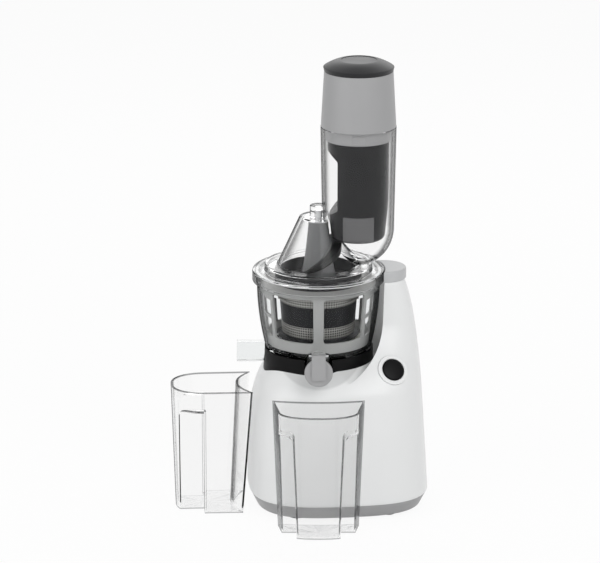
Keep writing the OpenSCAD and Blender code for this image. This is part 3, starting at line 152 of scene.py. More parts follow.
class JuicerSizes(PropertyGroup):
    """Sizes that a user would change."""
    shell_length: length("Body length", "Length of the white body at its foot", 197)
    shell_width: length("Body width", "Width of the white body at its foot", 171)
    tower_width: length("Tower width", "Width of the tower at its top", 50)
    recess_radius: length("Recess radius", "Radius of the recess that the bowl sits in", 73.5)
    bezel_radius: length("Bezel radius", "Outer radius of the switch ring", 17)
    button_radius: length("Button radius", "Radius of the power button", 12)
    bowl_foot_radius: length("Bowl foot radius", "Outer radius of the bowl at its foot", 56)
    bowl_rim_radius: length("Bowl rim radius", "Outer radius of the bowl under its lip", 67)
    bowl_wall: length("Bowl wall", "Wall of the clear bowl", 2.6)
    spout_radius: length("Spout radius", "Outer radius of the juice spout", 14.9)
    outlet_radius: length("Outlet radius", "Outer radius of the pulp outlet", 11.9)
    strap_width: length("Strap width", "Width of the two bars with wipers", 11)
    bar_width: length("Bar width", "Width of the plain bars", 5)
    lid_radius: length("Lid radius", "Outer radius of the lid's flange", 72)
    lid_wall: length("Lid wall", "Wall of the clear lid", 3)
    feed_radius: length("Feed radius", "Outer radius of the feed tube at its mouth", 41)
    feed_top: length("Feed top", "Height of the feed tube's mouth", 424.7)
    hood_radius: length("Hood radius", "Outer radius of the pusher's hood", 40.7)
    juice_cup_height: length("Juice cup height", "Height of the juice cup", 138)
    juice_cup_width: length("Juice cup width", "Width of the juice cup at its rim", 100)
    pulp_cup_height: length("Pulp cup height", "Height of the pulp cup", 139.5)
    pulp_cup_width: length("Pulp cup width", "Width of the pulp cup at its rim", 74)
    cup_wall: length("Cup wall", "Wall of the two cups", 2)


class JuicerColours(PropertyGroup):
    """Colours that a user would change."""
    body: colour("Body", "White body", "EBECEC")
    trim: colour("Trim", "Gray hood, base band and spout cap", "A0A0A1")
    latch: colour("Latch", "Light gray top of the tower", "BEBFC0")
    cage: colour("Cage", "Light gray brush cage", "B4B3B2")
    dark: colour("Dark plastic", "Seat, pusher cap and strainer", "1D1D1F")
    rod: colour("Rod", "Dark pusher rod", "1A1A1C")
    auger: colour("Auger", "Gray auger", "727374")
    smoke: colour("Smoky plastic", "Clear bowl, faintly gray", "F6F7F7")
    clear: colour("Clear plastic", "Clear lid and cups", "FBFBFB")
    floor: colour("Floor", "Pale studio floor", "F7F7F7")


def mix(a, b, share):
    return a + (b - a) * share


def clamp(value):
    return max(0.0, min(1.0, value))


def sweep(start, turn, steps):
    """Angles in even steps from a start through a turn."""
    return [start + turn * i / steps for i in range(steps + 1)]


def signed_power(value, power):
    return math.copysign(abs(value) ** power, value)


def sizes():
    """The sizes as millimetres, by name."""
    group = bpy.context.scene.juicer_sizes
    return {name: getattr(group, name) / MM for name in JuicerSizes.__annotations__}


def colours():
    """The colours as plain lists, by name."""
    group = bpy.context.scene.juicer_colours
    return {name: list(getattr(group, name)) for name in JuicerColours.__annotations__}


# Mesh building

def solid(name, points, faces):
    """A mesh object from points in millimetres, with its faces turned outward."""
    mesh = bpy.data.meshes.new(name)
    mesh.from_pydata([(AXIS.x + p[0] * MM, AXIS.y + p[1] * MM, p[2] * MM) for p in points], [], faces)
    work = bmesh.new()
    work.from_mesh(mesh)
    bmesh.ops.recalc_face_normals(work, faces=work.faces)
    work.to_mesh(mesh)
    work.free()
    piece = bpy.data.objects.new(name, mesh)
    bpy.context.scene.collection.objects.link(piece)
    return piece


def rounded(corners, fillet=1.0):
    """Rounds the corners of an outline; a third number is a corner's own fillet."""
    out = []
    for i, corner in enumerate(corners):
        here = Vector(corner[:2])
        back = Vector(corners[i - 1][:2]) - here
        ahead = Vector(corners[(i + 1) % len(corners)][:2]) - here
        size = corner[2] if len(corner) > 2 else fillet
        if size == 0 or here.x == 0 and corners[i - 1][0] == 0:
            out.append(here)
            continue
        start = here + back.normalized() * min(size, back.length * 0.45)
        end = here + ahead.normalized() * min(size, ahead.length * 0.45)
        if here.x == 0:
            out.append(here)
            continue
        for k in range(FILLET_STEPS + 1):
            t = k / FILLET_STEPS
            out.append(start * (1 - t) ** 2 + here * 2 * t * (1 - t) + end * t * t)
    return out


def turned(name, outline, place=None, steps=ROUND_STEPS):
    """Turns a closed outline of radius and height about an upright axis."""
    place = place or Matrix.Identity(4)
    points, faces, rings = [], [], []
    for p in outline:
        if abs(p[0]) < 1e-4:
            rings.append([len(points)])
            points.append(place @ Vector((0, 0, p[1])))
            continue
        rings.append(list(range(len(points), len(points) + steps)))
        for i in range(steps):
            a = i * FULL / steps
            points.append(place @ Vector((p[0] * math.cos(a), p[0] * math.sin(a), p[1])))
    for low, high in zip(rings, rings[1:] + rings[:1]):
        for i in range(steps):
            k = (i + 1) % steps
            if len(low) > 1 and len(high) > 1:
                faces.append((low[i], low[k], high[k], high[i]))
            elif len(low) > 1:
                faces.append((low[i], low[k], high[0]))
            elif len(high) > 1:
                faces.append((low[0], high[k], high[i]))
    return solid(name, points, faces)


def drum(name, radius, low, high, place=None, steps=ROUND_STEPS):
    """A plain round solid between two heights."""
    return turned(name, [(0, low), (radius, low), (radius, high), (0, high)], place, steps)


def skinned(name, loops, ring=False):
    """Joins loops of points one after the other, with a fan at each end or back into a ring."""
    count = len(loops[0])
    points = [Vector(p) for loop in loops for p in loop]
    faces = []
    last = len(loops) if ring else len(loops) - 1
    for r in range(last):
        low, high = r * count, (r + 1) % len(loops) * count
        for i in range(count):
            k = (i + 1) % count
            faces.append((low + i, low + k, high + k, high + i))
    if not ring:
        for start, flip in ((0, True), ((len(loops) - 1) * count, False)):
            middle = len(points)
            points.append(sum((points[start + i] for i in range(count)), Vector()) / count)
            for i in range(count):
                k = (i + 1) % count
                faces.append((start + k, start + i, middle) if flip else (start + i, start + k, middle))
    return solid(name, points, faces)


def extruded(name, outline, low, high, place=None):
    """A prism over an outline of two coordinates, from low to high along its third."""
    place = place or Matrix.Identity(4)
    return skinned(name, [[place @ Vector((p[0], p[1], z)) for p in outline] for z in (low, high)])


def brick(x0, x1, y0, y1, z0, z1):
    return extruded("brick", [(x0, y0), (x1, y0), (x1, y1), (x0, y1)], z0, z1)


def shaped(piece):
    """Applies the piece's modifiers to its mesh."""
    graph = bpy.context.evaluated_depsgraph_get()
    mesh = bpy.data.meshes.new_from_object(piece.evaluated_get(graph))
    old = piece.data
    piece.modifiers.clear()
    piece.data = mesh
    bpy.data.meshes.remove(old)
    return piece


def combined(piece, others, operation="DIFFERENCE"):
    """Cuts the other solids from a piece, or adds them to it."""
    for other in others:
        step = piece.modifiers.new("solid", "BOOLEAN")
        step.operation = operation
        step.solver = "EXACT"
        step.object = other
        shaped(piece)
        bpy.data.objects.remove(other)
    return piece


def finished(piece, material, body, *nodes):
    """Shades a piece, gives it its material, and lets it ride and stand for its nodes."""
    work = bmesh.new()
    work.from_mesh(piece.data)
    bmesh.ops.remove_doubles(work, verts=work.verts, dist=0.00001)
    bmesh.ops.dissolve_degenerate(work, edges=work.edges, dist=0.00001)
    work.to_mesh(piece.data)
    work.free()
    piece.data.materials.clear()
    piece.data.materials.append(material)
    piece.data.shade_smooth()
    piece.data.set_sharp_from_angle(angle=SHARP)
    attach(piece, body)
    if nodes:
        piece.name = piece.data.name = nodes[0] + "_skin"
        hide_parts(*nodes)
    return piece


def spot(x=0.0, y=0.0, z=0.0):
    return Matrix.Translation((x, y, z))


def facing_front(y, z, x=0.0):
    """A place whose own up points along -Y, out of the front."""
    return spot(x, y, z) @ Matrix.Rotation(QUARTER, 4, "X")


def facing_left(x, z):
    """A place whose own up points along -X, out of the left side."""
    return spot(x, 0, z) @ Matrix.Rotation(-QUARTER, 4, "Y")


def trough_left(x):
    """A place whose own up points along -X, with its own Y upright."""
    return spot(x) @ Matrix.Rotation(-QUARTER, 4, "Z") @ Matrix.Rotation(QUARTER, 4, "X")


def facing_right(x, y, z):
    return spot(x, y, z) @ Matrix.Rotation(QUARTER, 4, "Y")


# The body's sections

def body_point(angle, z, inset=0.0):
    """A point on the body's skin at a height, drawn in by an inset."""
    s = sizes_now
    rise = clamp((z - SHELL_Z) / (TOWER_Z - SHELL_Z))
    right = SHELL_SHIFT + s["shell_length"] / 2 - TOWER_LEAN * rise - TOWER_ROUND * rise ** SHOULDER_POWER
    left = mix(SHELL_SHIFT - s["shell_length"] / 2, LEFT_TOP_X,
               clamp((z - LEFT_Z) / (LEFT_TOP_Z - LEFT_Z)) ** LEFT_POWER)
    low = s["shell_width"] / 2 - FRONT_LEAN * rise
    high = s["tower_width"] / 2 + TOWER_FLARE * (1 - rise)
    t = clamp((z - WAIST_Z) / (WAIST_TOP_Z - WAIST_Z))
    half = mix(low, high, (t * t * (3 - 2 * t)) ** WAIST_POWER)
    power = 2 / mix(FOOT_POWER, TOP_POWER, rise)
    x = (right + left) / 2 + ((right - left) / 2 - inset) * signed_power(math.cos(angle), power) - SHELL_SHIFT
    y = mix(SHELL_Y, TOWER_Y, rise) + (half - inset) * signed_power(math.sin(angle), power) - SHELL_Y
    return Vector((x * math.cos(SHELL_TURN) - y * math.sin(SHELL_TURN) + SHELL_SHIFT,
                   x * math.sin(SHELL_TURN) + y * math.cos(SHELL_TURN) + SHELL_Y, z))


def body_loop(z, inset=0.0, at=None, count=ROUND_STEPS):
    """A level loop round the body, moved to another height where one is given."""
    loop = [body_point(i * FULL / count, z, inset) for i in range(count)]
    return [Vector((p.x, p.y, z if at is None else at)) for p in loop]


def switch_place():
    """The place of the power switch, its up pointing out of the skin."""
    here = body_point(SWITCH_ANGLE, SWITCH_Z)
    nudge = math.radians(1)
    side = body_point(SWITCH_ANGLE + nudge, SWITCH_Z) - body_point(SWITCH_ANGLE - nudge, SWITCH_Z)
    up = body_point(SWITCH_ANGLE, SWITCH_Z + 1) - body_point(SWITCH_ANGLE, SWITCH_Z - 1)
    out = side.cross(up).normalized()
    yaw = math.atan2(out.y, out.x)
    tilt = math.acos(out.z)
    return spot(*here) @ Matrix.Rotation(yaw, 4, "Z") @ Matrix.Rotation(tilt, 4, "Y")


# Materials

def add(tree, kind, inputs=None, **settings):
    """Adds a shader node with its settings, values and links."""
    node = tree.nodes.new("ShaderNode" + kind)
    for name, value in settings.items():
        setattr(node, name, value)
    for name, value in (inputs or {}).items():
        if isinstance(value, bpy.types.NodeSocket):
            tree.links.new(value, node.inputs[name])
        else:
            node.inputs[name].default_value = value
    return node


def blank(name):
    """A new node material with only its output."""
    material = bpy.data.materials.new(name)
    material.use_nodes = True
    material.node_tree.nodes.clear()
    return material, material.node_tree


def per_mm(size):
    """The texture scale whose pattern repeats at a size in millimetres."""
    return 1 / (size * MM)


def shade(tint, share):
    """A colour made darker or lighter by a share."""
    return [min(1.0, c * share) for c in tint[:3]] + [1.0]


def calc(tree, operation, *values):
    """The result of one sum on numbers or sockets."""
    return add(tree, "Math", dict(enumerate(values)), operation=operation).outputs[0]


def ranged(tree, value, start, end, low=0.0, high=1.0, **settings):
    """A value carried over from one range to another."""
    return add(tree, "MapRange", {"Value": value, "From Min": start, "From Max": end, "To Min": low,
                                  "To Max": high}, **settings).outputs["Result"]


def noise(tree, where, size, detail):
    """Soft noise with clouds of a size in millimetres."""
    return add(tree, "TexNoise", {"Vector": where, "Scale": per_mm(size), "Detail": detail}).outputs["Fac"]


def bands(tree, where, pitch, wobble=0.0):
    """Level bands at a pitch in millimetres."""
    return add(tree, "TexWave", {"Vector": where, "Scale": per_mm(pitch) / 20, "Distortion": wobble},
               wave_type="BANDS", bands_direction="Z").outputs["Fac"]


def dented(tree, height, strength, depth):
    """The normal of a relief with a depth in millimetres."""
    relief = add(tree, "Bump", {"Height": height, "Strength": strength, "Distance": depth * MM})
    return relief.outputs["Normal"]


def toned(tree, share, first, second):
    """A colour between two."""
    return add(tree, "Mix", {0: share, 6: first, 7: second}, data_type="RGBA").outputs[2]


def span(tree, across, up):
    """The length of a line with two legs."""
    legs = add(tree, "CombineXYZ", {"X": across, "Y": up}).outputs["Vector"]
    return add(tree, "VectorMath", {0: legs}, operation="LENGTH").outputs["Value"]


def blended(tree, share, first, second):
    """A mix of two shaders."""
    return add(tree, "MixShader", {0: share, 1: first, 2: second}).outputs["Shader"]


def surface(tree, tint, roughness, normal, more):
    """Ends a material in one principled shader."""
    shader = add(tree, "BsdfPrincipled", {
        "Base Color": tint, "Roughness": roughness, "Normal": normal, **more})
    add(tree, "OutputMaterial", {"Surface": shader.outputs["BSDF"]})


def moulded(name, tint, roughness=0.4, grain=0.5, depth=0.03, drift=0.04, coat=0.0, sheen=0.0, ior=1.5,
            shine=0.5):
    """Moulded plastic or rubber: a faint drift of colour and gloss, over a spark-eroded grain."""
    material, tree = blank(name)
    where = add(tree, "TexCoord").outputs["Object"]
    cloud = noise(tree, where, 26, 3.0)
    tone = toned(tree, cloud, shade(tint, 1 - drift), shade(tint, 1 + drift))
    gloss = ranged(tree, cloud, 0.3, 0.7, roughness - 0.03, roughness + 0.03)
    surface(tree, tone, gloss, dented(tree, noise(tree, where, grain, 2.0), depth, 0.1), {
        "IOR": ior, "Coat Weight": coat, "Coat Roughness": 0.12, "Sheen Weight": sheen,
        "Specular IOR Level": shine})
    return material


def from_axis(tree):
    """The place on a piece, measured from the bowl's axis, as separate X, Y and Z."""
    where = add(tree, "TexCoord").outputs["Object"]
    shift = add(tree, "VectorMath", {0: where, 1: (AXIS.x, AXIS.y, 0)}, operation="SUBTRACT")
    return add(tree, "SeparateXYZ", {0: shift.outputs["Vector"]}).outputs


def retoned(material, share, tint):
    """Gives a moulded material another colour where the share is 1."""
    tree = material.node_tree
    shader = next(node for node in tree.nodes if node.type == "BSDF_PRINCIPLED")
    before = shader.inputs["Base Color"].links[0].from_socket
    tree.links.new(toned(tree, share, before, tint), shader.inputs["Base Color"])
    return material


def recess_shaded(name, tint):
    """White plastic with painted shade on a band round the bowl's recess, toned a little deeper, at the front
    only.
    """
    material = moulded(name, tint, 0.34, 0.6, 0.02, 0.006, coat=0.1)
    tree = material.node_tree
    place = from_axis(tree)
    across = calc(tree, "DIVIDE", place["X"], SHADE_BAND_HALF * MM)
    below = ranged(tree, place["Z"], SHADE_BAND_CENTRE * MM, (SHADE_BAND_CENTRE - SHADE_BAND_DROP) * MM, clamp=False)
    inside = ranged(tree, span(tree, across, calc(tree, "MAXIMUM", below, 0.0)), 1.0, 0.97)
    front = ranged(tree, place["Y"], 0.0, -10 * MM)
    # Painted shade: the band round the recess is toned to 0.8 of the white
    return retoned(material, calc(tree, "MULTIPLY", inside, front), shade(tint, 0.8))


def flanged(name, tint, flange):
    """Dark nylon, with the wide flange toned pale like the cage, which is a guess."""
    material = moulded(name, tint, 0.45, 0.5, 0.05, 0.05, shine=0.2)
    tree = material.node_tree
    place = from_axis(tree)
    wide = ranged(tree, span(tree, place["X"], place["Y"]), (MOUTH_R + 0.6) * MM, (MOUTH_R + 0.9) * MM)
    return retoned(material, wide, flange)


def screw_plastic(name, shaft, blade, pin):
    """Gray nylon, with painted shade nearly black on the blades, and the peg pale, which is a guess.
    Gray nylon, with the blades toned nearly black and the peg pale, both of which are guesses.
    """
    material = moulded(name, shaft, 0.42, 0.5, 0.06, 0.06, shine=0.25)
    tree = material.node_tree
    place = from_axis(tree)
    core = ranged(tree, place["Z"], 255 * MM, 318 * MM, 19.5 * MM, CORE_TOP_R * MM)
    blade_shade_reach = calc(tree, "SUBTRACT", span(tree, place["X"], place["Y"]), core)
    # Painted shade: nearly black where the blades stand 1 to 2 mm past the core
    retoned(material, ranged(tree, blade_shade_reach, 1 * MM, 2 * MM), blade)
    top = ranged(tree, place["Z"], (AUGER_TOP - 0.2) * MM, (AUGER_TOP + 0.2) * MM)
    return retoned(material, top, pin)


def metal(name, tint, roughness=0.3, pitch=0.4, depth=0.08, turned_on=True):
    """Bare metal with fine tool marks: rings where it was turned, grains where cast or rolled."""
    material, tree = blank(name)
    where = add(tree, "TexCoord").outputs["Object"]
    marks = bands(tree, where, pitch, 0.3) if turned_on else noise(tree, where, pitch, 3.0)
    cloud = noise(tree, where, 12, 2.0)
    gloss = ranged(tree, cloud, 0.0, 1.0, roughness - 0.08, roughness + 0.08)
    surface(tree, toned(tree, cloud, shade(tint, 0.92), shade(tint, 1.05)), gloss,
            dented(tree, marks, depth, 0.1), {"Metallic": 1.0})
    return material


def see_through(name, tint, edge, ior, start, end, most, lines=0.0):
    """Clear moulded plastic: bright through its face, with painted shade where an upright wall is seen edge
    on, and a thin line of painted shade at its very top and bottom where asked.
    """
    material, tree = blank(name)
    where = add(tree, "TexCoord").outputs
    ripple = dented(tree, noise(tree, where["Object"], 30, 1.0), 0.02, 0.5)
    grazing = add(tree, "LayerWeight", {"Blend": 0.5}).outputs["Facing"]
    rim = ranged(tree, grazing, start, end, 0.0, most, interpolation_type="SMOOTHSTEP")
    normal = add(tree, "SeparateXYZ", {0: add(tree, "NewGeometry").outputs["Normal"]}).outputs
    upright = ranged(tree, calc(tree, "ABSOLUTE", normal["Z"]), 0.9, 0.6)
    height = add(tree, "SeparateXYZ", {0: where["Generated"]}).outputs["Z"]
    away = calc(tree, "ABSOLUTE", calc(tree, "SUBTRACT", height, 0.5))
    # Painted shade: a thin dark line at the very top and bottom of the piece, standing for its rim and foot
    # seen edge on
    ends = ranged(tree, away, 0.489, 0.492, 0.0, lines)
    share = calc(tree, "MAXIMUM", calc(tree, "MULTIPLY", rim, upright), ends)
    shader = add(tree, "BsdfPrincipled", {
        "Base Color": tint, "Roughness": 0.03, "IOR": ior, "Transmission Weight": 1.0, "Normal": ripple})
    dim = add(tree, "BsdfTransparent", {"Color": edge})
    walls = blended(tree, share, shader.outputs["BSDF"], dim.outputs["BSDF"])
    open_air = add(tree, "BsdfTransparent", {"Color": tint})
    path = add(tree, "LightPath").outputs
    bounced = calc(tree, "MAXIMUM", path["Is Shadow Ray"], path["Is Diffuse Ray"])
    add(tree, "OutputMaterial", {"Surface": blended(tree, bounced, walls, open_air.outputs["BSDF"])})
    return material


def etched_sheet(name, tint, pitch, radius):
    """Stainless sheet etched with round holes in rows round a drum, drawn coarser than real."""
    material, tree = blank(name)
    place = from_axis(tree)
    along = calc(tree, "MULTIPLY", calc(tree, "ARCTAN2", place["Y"], place["X"]), radius * MM)
    unrolled = add(tree, "CombineXYZ", {"X": along, "Y": place["Z"]}).outputs["Vector"]
    dots = add(tree, "TexVoronoi", {"Vector": unrolled, "Scale": per_mm(pitch), "Randomness": 0.0},
               voronoi_dimensions="2D")
    hole = ranged(tree, dots.outputs["Distance"], 0.3, 0.42)
    surface(tree, toned(tree, hole, shade(tint, 0.15), tint), 0.45, dented(tree, hole, 0.3, 0.2),
            {"Metallic": 0.3})
    return material


def layered(name, tint, dark, pitch, metallic=0.0, roughness=0.5):
    """Stacked sheets or wound wire: level bands of two tones with a groove between them."""
    material, tree = blank(name)
    lines = bands(tree, add(tree, "TexCoord").outputs["Object"], pitch)
    surface(tree, toned(tree, lines, dark, tint), roughness, dented(tree, lines, 0.4, 0.3),
            {"Metallic": metallic})
    return material


def material_set():
    """Every material of the juicer, by a short name."""
    c = colours()
    return {
        # Gloss white shell: soft highlights, almost no grain
        "body": moulded("ABS, moulded gloss", c["body"], 0.34, 0.6, 0.02, 0.006, coat=0.1),
        # The same white plastic with painted shade on the band round the bowl's recess
        "shell": recess_shaded("ABS, moulded gloss with lip", c["body"]),
        # Satin gray trim: even tone, fine spark-eroded grain
        "trim": moulded("ABS, moulded satin", c["trim"], 0.42, 0.5, 0.05, 0.02),
        "latch": moulded("ABS, moulded light satin", c["latch"], 0.38, 0.5, 0.04, 0.02),
        # Dark satin plastic: keeps a soft highlight on its edges
        "dark": moulded("Polypropylene, moulded satin", c["dark"], 0.4, 0.6, 0.05, 0.06, shine=0.3),
        "rod": moulded("Polypropylene, moulded smooth", c["rod"], 0.3, 0.7, 0.03, 0.05, shine=0.2),
        "cage": moulded("Acetal, moulded", c["cage"], 0.36, 0.5, 0.03, 0.02),
        "panel": moulded("Polypropylene, lighter inset", linear("6A6A6B"), 0.4, 0.5, 0.05, 0.06, shine=0.2),
        # Nylon: a duller gray, its tones set by place on the piece, with painted shade on the auger's blades
        "auger": screw_plastic("Glass-filled nylon, moulded", c["auger"], linear("040404"), linear("D8D9DA")),
        "strainer": flanged("Glass-filled nylon, moulded dark", shade(c["dark"], 1.5), c["cage"]),
        # Silicone and rubber: dull, with a faint sheen at their edges
        "silicone": moulded("Silicone, moulded", linear("8D8F90"), 0.5, 0.8, 0.03, 0.03, 0.0, 0.2, 1.41),
        "seal": moulded("Silicone, moulded pale", linear("D6D8D8"), 0.5, 0.8, 0.03, 0.03, 0.0, 0.2, 1.41),
        "rubber": moulded("Natural rubber, moulded", linear("1E1E1F"), 0.7, 0.4, 0.15, 0.08, sheen=0.1),
        "button": moulded("ABS, moulded black", linear("080809"), 0.34, 0.5, 0.03, 0.05, shine=0.1),
        "seat": moulded("Polypropylene, moulded black", linear("0A0A0B"), 0.45, 0.6, 0.05, 0.06, shine=0.12),
        "gear": moulded("Acetal, machined", linear("E4E2DA"), 0.34, 0.4, 0.05, 0.02),
        # Clear plastics: bright faces, lines of painted shade where a wall is seen edge on
        "smoke": see_through("Copolyester, moulded smoky", c["smoke"], linear("3A3C3E"), 1.1, 0.45, 0.85,
                             0.85),
        "clear": see_through("Copolyester, moulded clear", c["clear"], linear("46484A"), 1.2, 0.42, 0.74,
                             0.72),
        "cup": see_through("Styrene acrylonitrile, moulded clear", c["clear"], linear("6A6C6E"), 1.3, 0.66,
                           0.95, 0.8, 0.5),
        # Bare metals: soft reflections broken by tool marks, sheets or wire
        "mesh": etched_sheet("Stainless steel, etched", linear("B2B0AC"), 2.8, 41),
        "steel": metal("Stainless steel, turned", linear("C9CACB")),
        "brass": metal("Sintered bronze, pressed", linear("B58A4E"), 0.45, 0.3, 0.12, False),
        "aluminium": metal("Aluminium, die-cast", linear("B9BBBD"), 0.5, 0.6, 0.2, False),
        "iron": layered("Electrical steel, stacked", linear("8B8D90"), linear("4B4D50"), 1.0, 0.9),
        "copper": layered("Copper wire, wound", linear("B4642F"), linear("6E3517"), 1.4, 0.8, 0.35),
        "board": moulded("Glass-epoxy, laminated", linear("2E6B45"), 0.45, 0.7, 0.08, 0.08, coat=0.3),
    }


class StageOperator(Operator):
    """Sets the camera, the floor, the soft lamps and the white surroundings"""
    bl_idname = "juicer.stage"
    bl_label = "Stage"

    def execute(self, context):
        scene = context.scene
        scene.view_settings.view_transform = "Standard"
        lens = bpy.data.cameras.new("camera")
        lens.lens, lens.sensor_width = 215.3, 36.0
        lens.clip_end = 50.0
        camera = bpy.data.objects.new("camera", lens)
        scene.collection.objects.link(camera)
        eye = Vector((AXIS.x - 20 * MM, AXIS.y - 3750 * MM, 1366 * MM))
        target = Vector((AXIS.x - 20 * MM, AXIS.y, 250 * MM))
        camera.location = eye
        camera.rotation_euler = (target - eye).to_track_quat("-Z", "Y").to_euler()
        scene.camera = camera

        white = linear("FFFFFF")
        material, tree = blank("Studio paper, matt")
        where = add(tree, "TexCoord").outputs["Object"]
        fibres = dented(tree, noise(tree, where, 3, 2.0), 0.02, 0.1)
        matt = add(tree, "BsdfDiffuse", {"Color": colours()["floor"], "Normal": fibres})
        glow = add(tree, "Emission", {"Color": white, "Strength": 1.0})
        part = calc(tree, "MULTIPLY", self.seen(tree), 0.93)
        paper = blended(tree, part, matt.outputs["BSDF"], glow.outputs["Emission"])
        add(tree, "OutputMaterial", {"Surface": paper})
        floor = solid("floor", [(-6000, -5000, 0), (6000, -5000, 0), (6000, 8000, 0), (-6000, 8000, 0)],
                      [(0, 1, 2, 3)])
        floor.data.materials.append(material)

        world = bpy.data.worlds.new("surroundings")
        world.use_nodes = True
        scene.world = world
        tree = world.node_tree
        tree.nodes.clear()
        soft = add(tree, "Background", {"Color": white, "Strength": 0.5})
        bright = add(tree, "Background", {"Color": white, "Strength": 1.0})
        both = blended(tree, self.seen(tree), soft.outputs["Background"], bright.outputs["Background"])
        add(tree, "OutputWorld", {"Surface": both})

        self.lamp("key", (900, -1500, 1500), 1300, 15)
        self.lamp("fill", (-1500, -1100, 900), 1400, 10)
        self.lamp("back", (200, 1500, 1400), 1500, 8)
        return {"FINISHED"}

    def seen(self, tree):
        """1 where the ray comes from the camera or by way of gloss or clear plastic."""
        path = add(tree, "LightPath").outputs
        gloss = calc(tree, "MAXIMUM", path["Is Camera Ray"], path["Is Glossy Ray"])
        return calc(tree, "MAXIMUM", gloss, path["Is Transmission Ray"])

    def lamp(self, name, place, size, power):
        """A square softbox that looks at the middle of the juicer."""
        light = bpy.data.lights.new(name, "AREA")
        light.size, light.energy = size * MM, power
        holder = bpy.data.objects.new(name, light)
        holder.location = Vector((AXIS.x, AXIS.y, 0)) + Vector(place) * MM
        look = Vector((AXIS.x, AXIS.y, 220 * MM)) - holder.location
        holder.rotation_euler = look.to_track_quat("-Z", "Y").to_euler()
        bpy.context.scene.collection.objects.link(holder)


class BodyOperator(Operator):
    """Builds the white body with its recess, the base band, the feet, the seat and the latch top"""
    bl_idname = "juicer.body"
    bl_label = "Body"

    def execute(self, context):
        s, m = sizes_now, materials
        recess, bezel, trough = s["recess_radius"], s["bezel_radius"], TROUGH_GAP
        levels = [(SHELL_Z, 1.1), (19.3, 0.4), (20.2, 0)] + [(z, 0) for z in range(23, 251, 3)]
        levels += [(251.6, 0.15), (252.5, 0.5), (TOWER_Z, 1.2)]
        shell = skinned("housing", [body_loop(z, inset) for z, inset in levels])
        hollow = skinned("hollow", [body_loop(z, BODY_WALL, at) for z, at in
                                    [(SHELL_Z, SHELL_Z - 1)] + [(z, z) for z in range(25, 251, 6)]])
        switch = switch_place()
        combined(hollow, [drum("keep", recess + BODY_WALL, DECK_Z - BODY_WALL, 260),
                          drum("keep", bezel + BODY_WALL, -SWITCH_DEPTH, 6, switch)])
        inlet = spot(*body_point(INLET_ANGLE, INLET_Z)) @ Matrix.Rotation(-QUARTER, 4, "X")
        combined(shell, [
            hollow,
            turned("recess", rounded([(0, DECK_Z), (SEAT_R + FIT, DECK_Z), (SEAT_R + FIT, DECK_Z + 14, 1.5),
                                      (recess, DECK_Z + 1, 2), (recess, 262), (0, 262)], 0), steps=192),
            drum("hole", DECK_HOLE_R, 140, 156),
            self.channel(s["spout_radius"] + trough, SPOUT_Z, facing_front(-s["bowl_foot_radius"], 0)),
            self.channel(s["outlet_radius"] + trough, OUTLET_Z, trough_left(-s["bowl_foot_radius"])),
            turned("recess", rounded([(0, -8), (13.7, -8), (13.7, -2), (bezel + FIT, -2), (bezel + FIT, 30),
                                      (0, 30)], 0), switch, 96),
            turned("inlet", [(0, -26), (INLET_R, -26), (INLET_R, 4), (INLET_LIP_R, 4), (INLET_LIP_R, 30),
                             (0, 30)], inlet, 64)])
        finished(shell, m["shell"], "base", "main_housing")

        band = [(19.0, 1.0), (19.0, 8.0), (10.0, 8.0), (10.0, 20.0), (7.0, 20.0), (7.0, 11.0), (4.0, 11.0),
                (4.0, 8.4), (4.6, 7.6), (8.5, 5.7), (14.0, 3.1), (18.2, 1.0)]
        ring = skinned("base_band", [body_loop(SHELL_Z, inset, z) for z, inset in band], ring=True)
        finished(ring, m["trim"], "base", "base_ring")

        feet = []
        for x in (-FOOT_X, FOOT_X):
            for y in (-FOOT_Y, FOOT_Y):
                turn = Matrix.Rotation(SHELL_TURN, 4, "Z") @ Vector((x, y, 0))
                feet.append(turned("feet", rounded([(0, 0), (FOOT_R, 0), (FOOT_R, FOOT_H), (0, FOOT_H)]),
                                   spot(SHELL_SHIFT + turn.x, SHELL_Y + turn.y), 64))
        finished(combined(feet[0], feet[1:], "UNION"), m["rubber"], "base", "rubber_feet")

        low = s["bowl_foot_radius"] + TROUGH_GAP
        floor = SEAT_FLOOR + SEAT_T
        seat = turned("seat", rounded([
            (DECK_HOLE_R, SEAT_FLOOR), (DECK_HOLE_R, floor), (low, floor), (low, 172), (low + 1.3, SEAT_TOP),
            (SEAT_R, SEAT_TOP, 0.8), (SEAT_R, DECK_Z, 0.6), (low, DECK_Z), (low, SEAT_FLOOR)], 0))
        combined(seat, [
            self.channel(s["spout_radius"] + trough, SPOUT_Z, facing_front(-53.4, 0)),
            self.channel(s["outlet_radius"] + trough, OUTLET_Z, trough_left(-25.5))])
        finished(seat, m["seat"], "base", "bowl_seat")

        top, gap = TOWER_Z + LATCH_H, s["lid_radius"] + 0.6
        latch = turned("latch_top", rounded([(0, TOWER_Z), (LATCH_R, TOWER_Z, 0.5), (LATCH_R, top, 2.4),
                                             (0, top)], 1), spot(LATCH_X, LATCH_Y), 128)
        combined(latch, [turned("gap", rounded([(0, 250), (gap, 250), (gap, top - 0.8), (gap + 1, top + 0.4),
                                                (gap + 1, 270), (0, 270)], 0), steps=256)])
        finished(latch, m["latch"], "base", "latch_cap")
        return {"FINISHED"}

    def channel(self, radius, height, place):
        """A trough with a round bottom, open to the top, running outward from its place."""
        outline = [(radius * math.cos(a), height + radius * math.sin(a)) for a in sweep(math.pi, math.pi, 32)]
        outline += [(radius, height + 26), (-radius, height + 26)]
        return extruded("channel", outline, 0, 74, place)


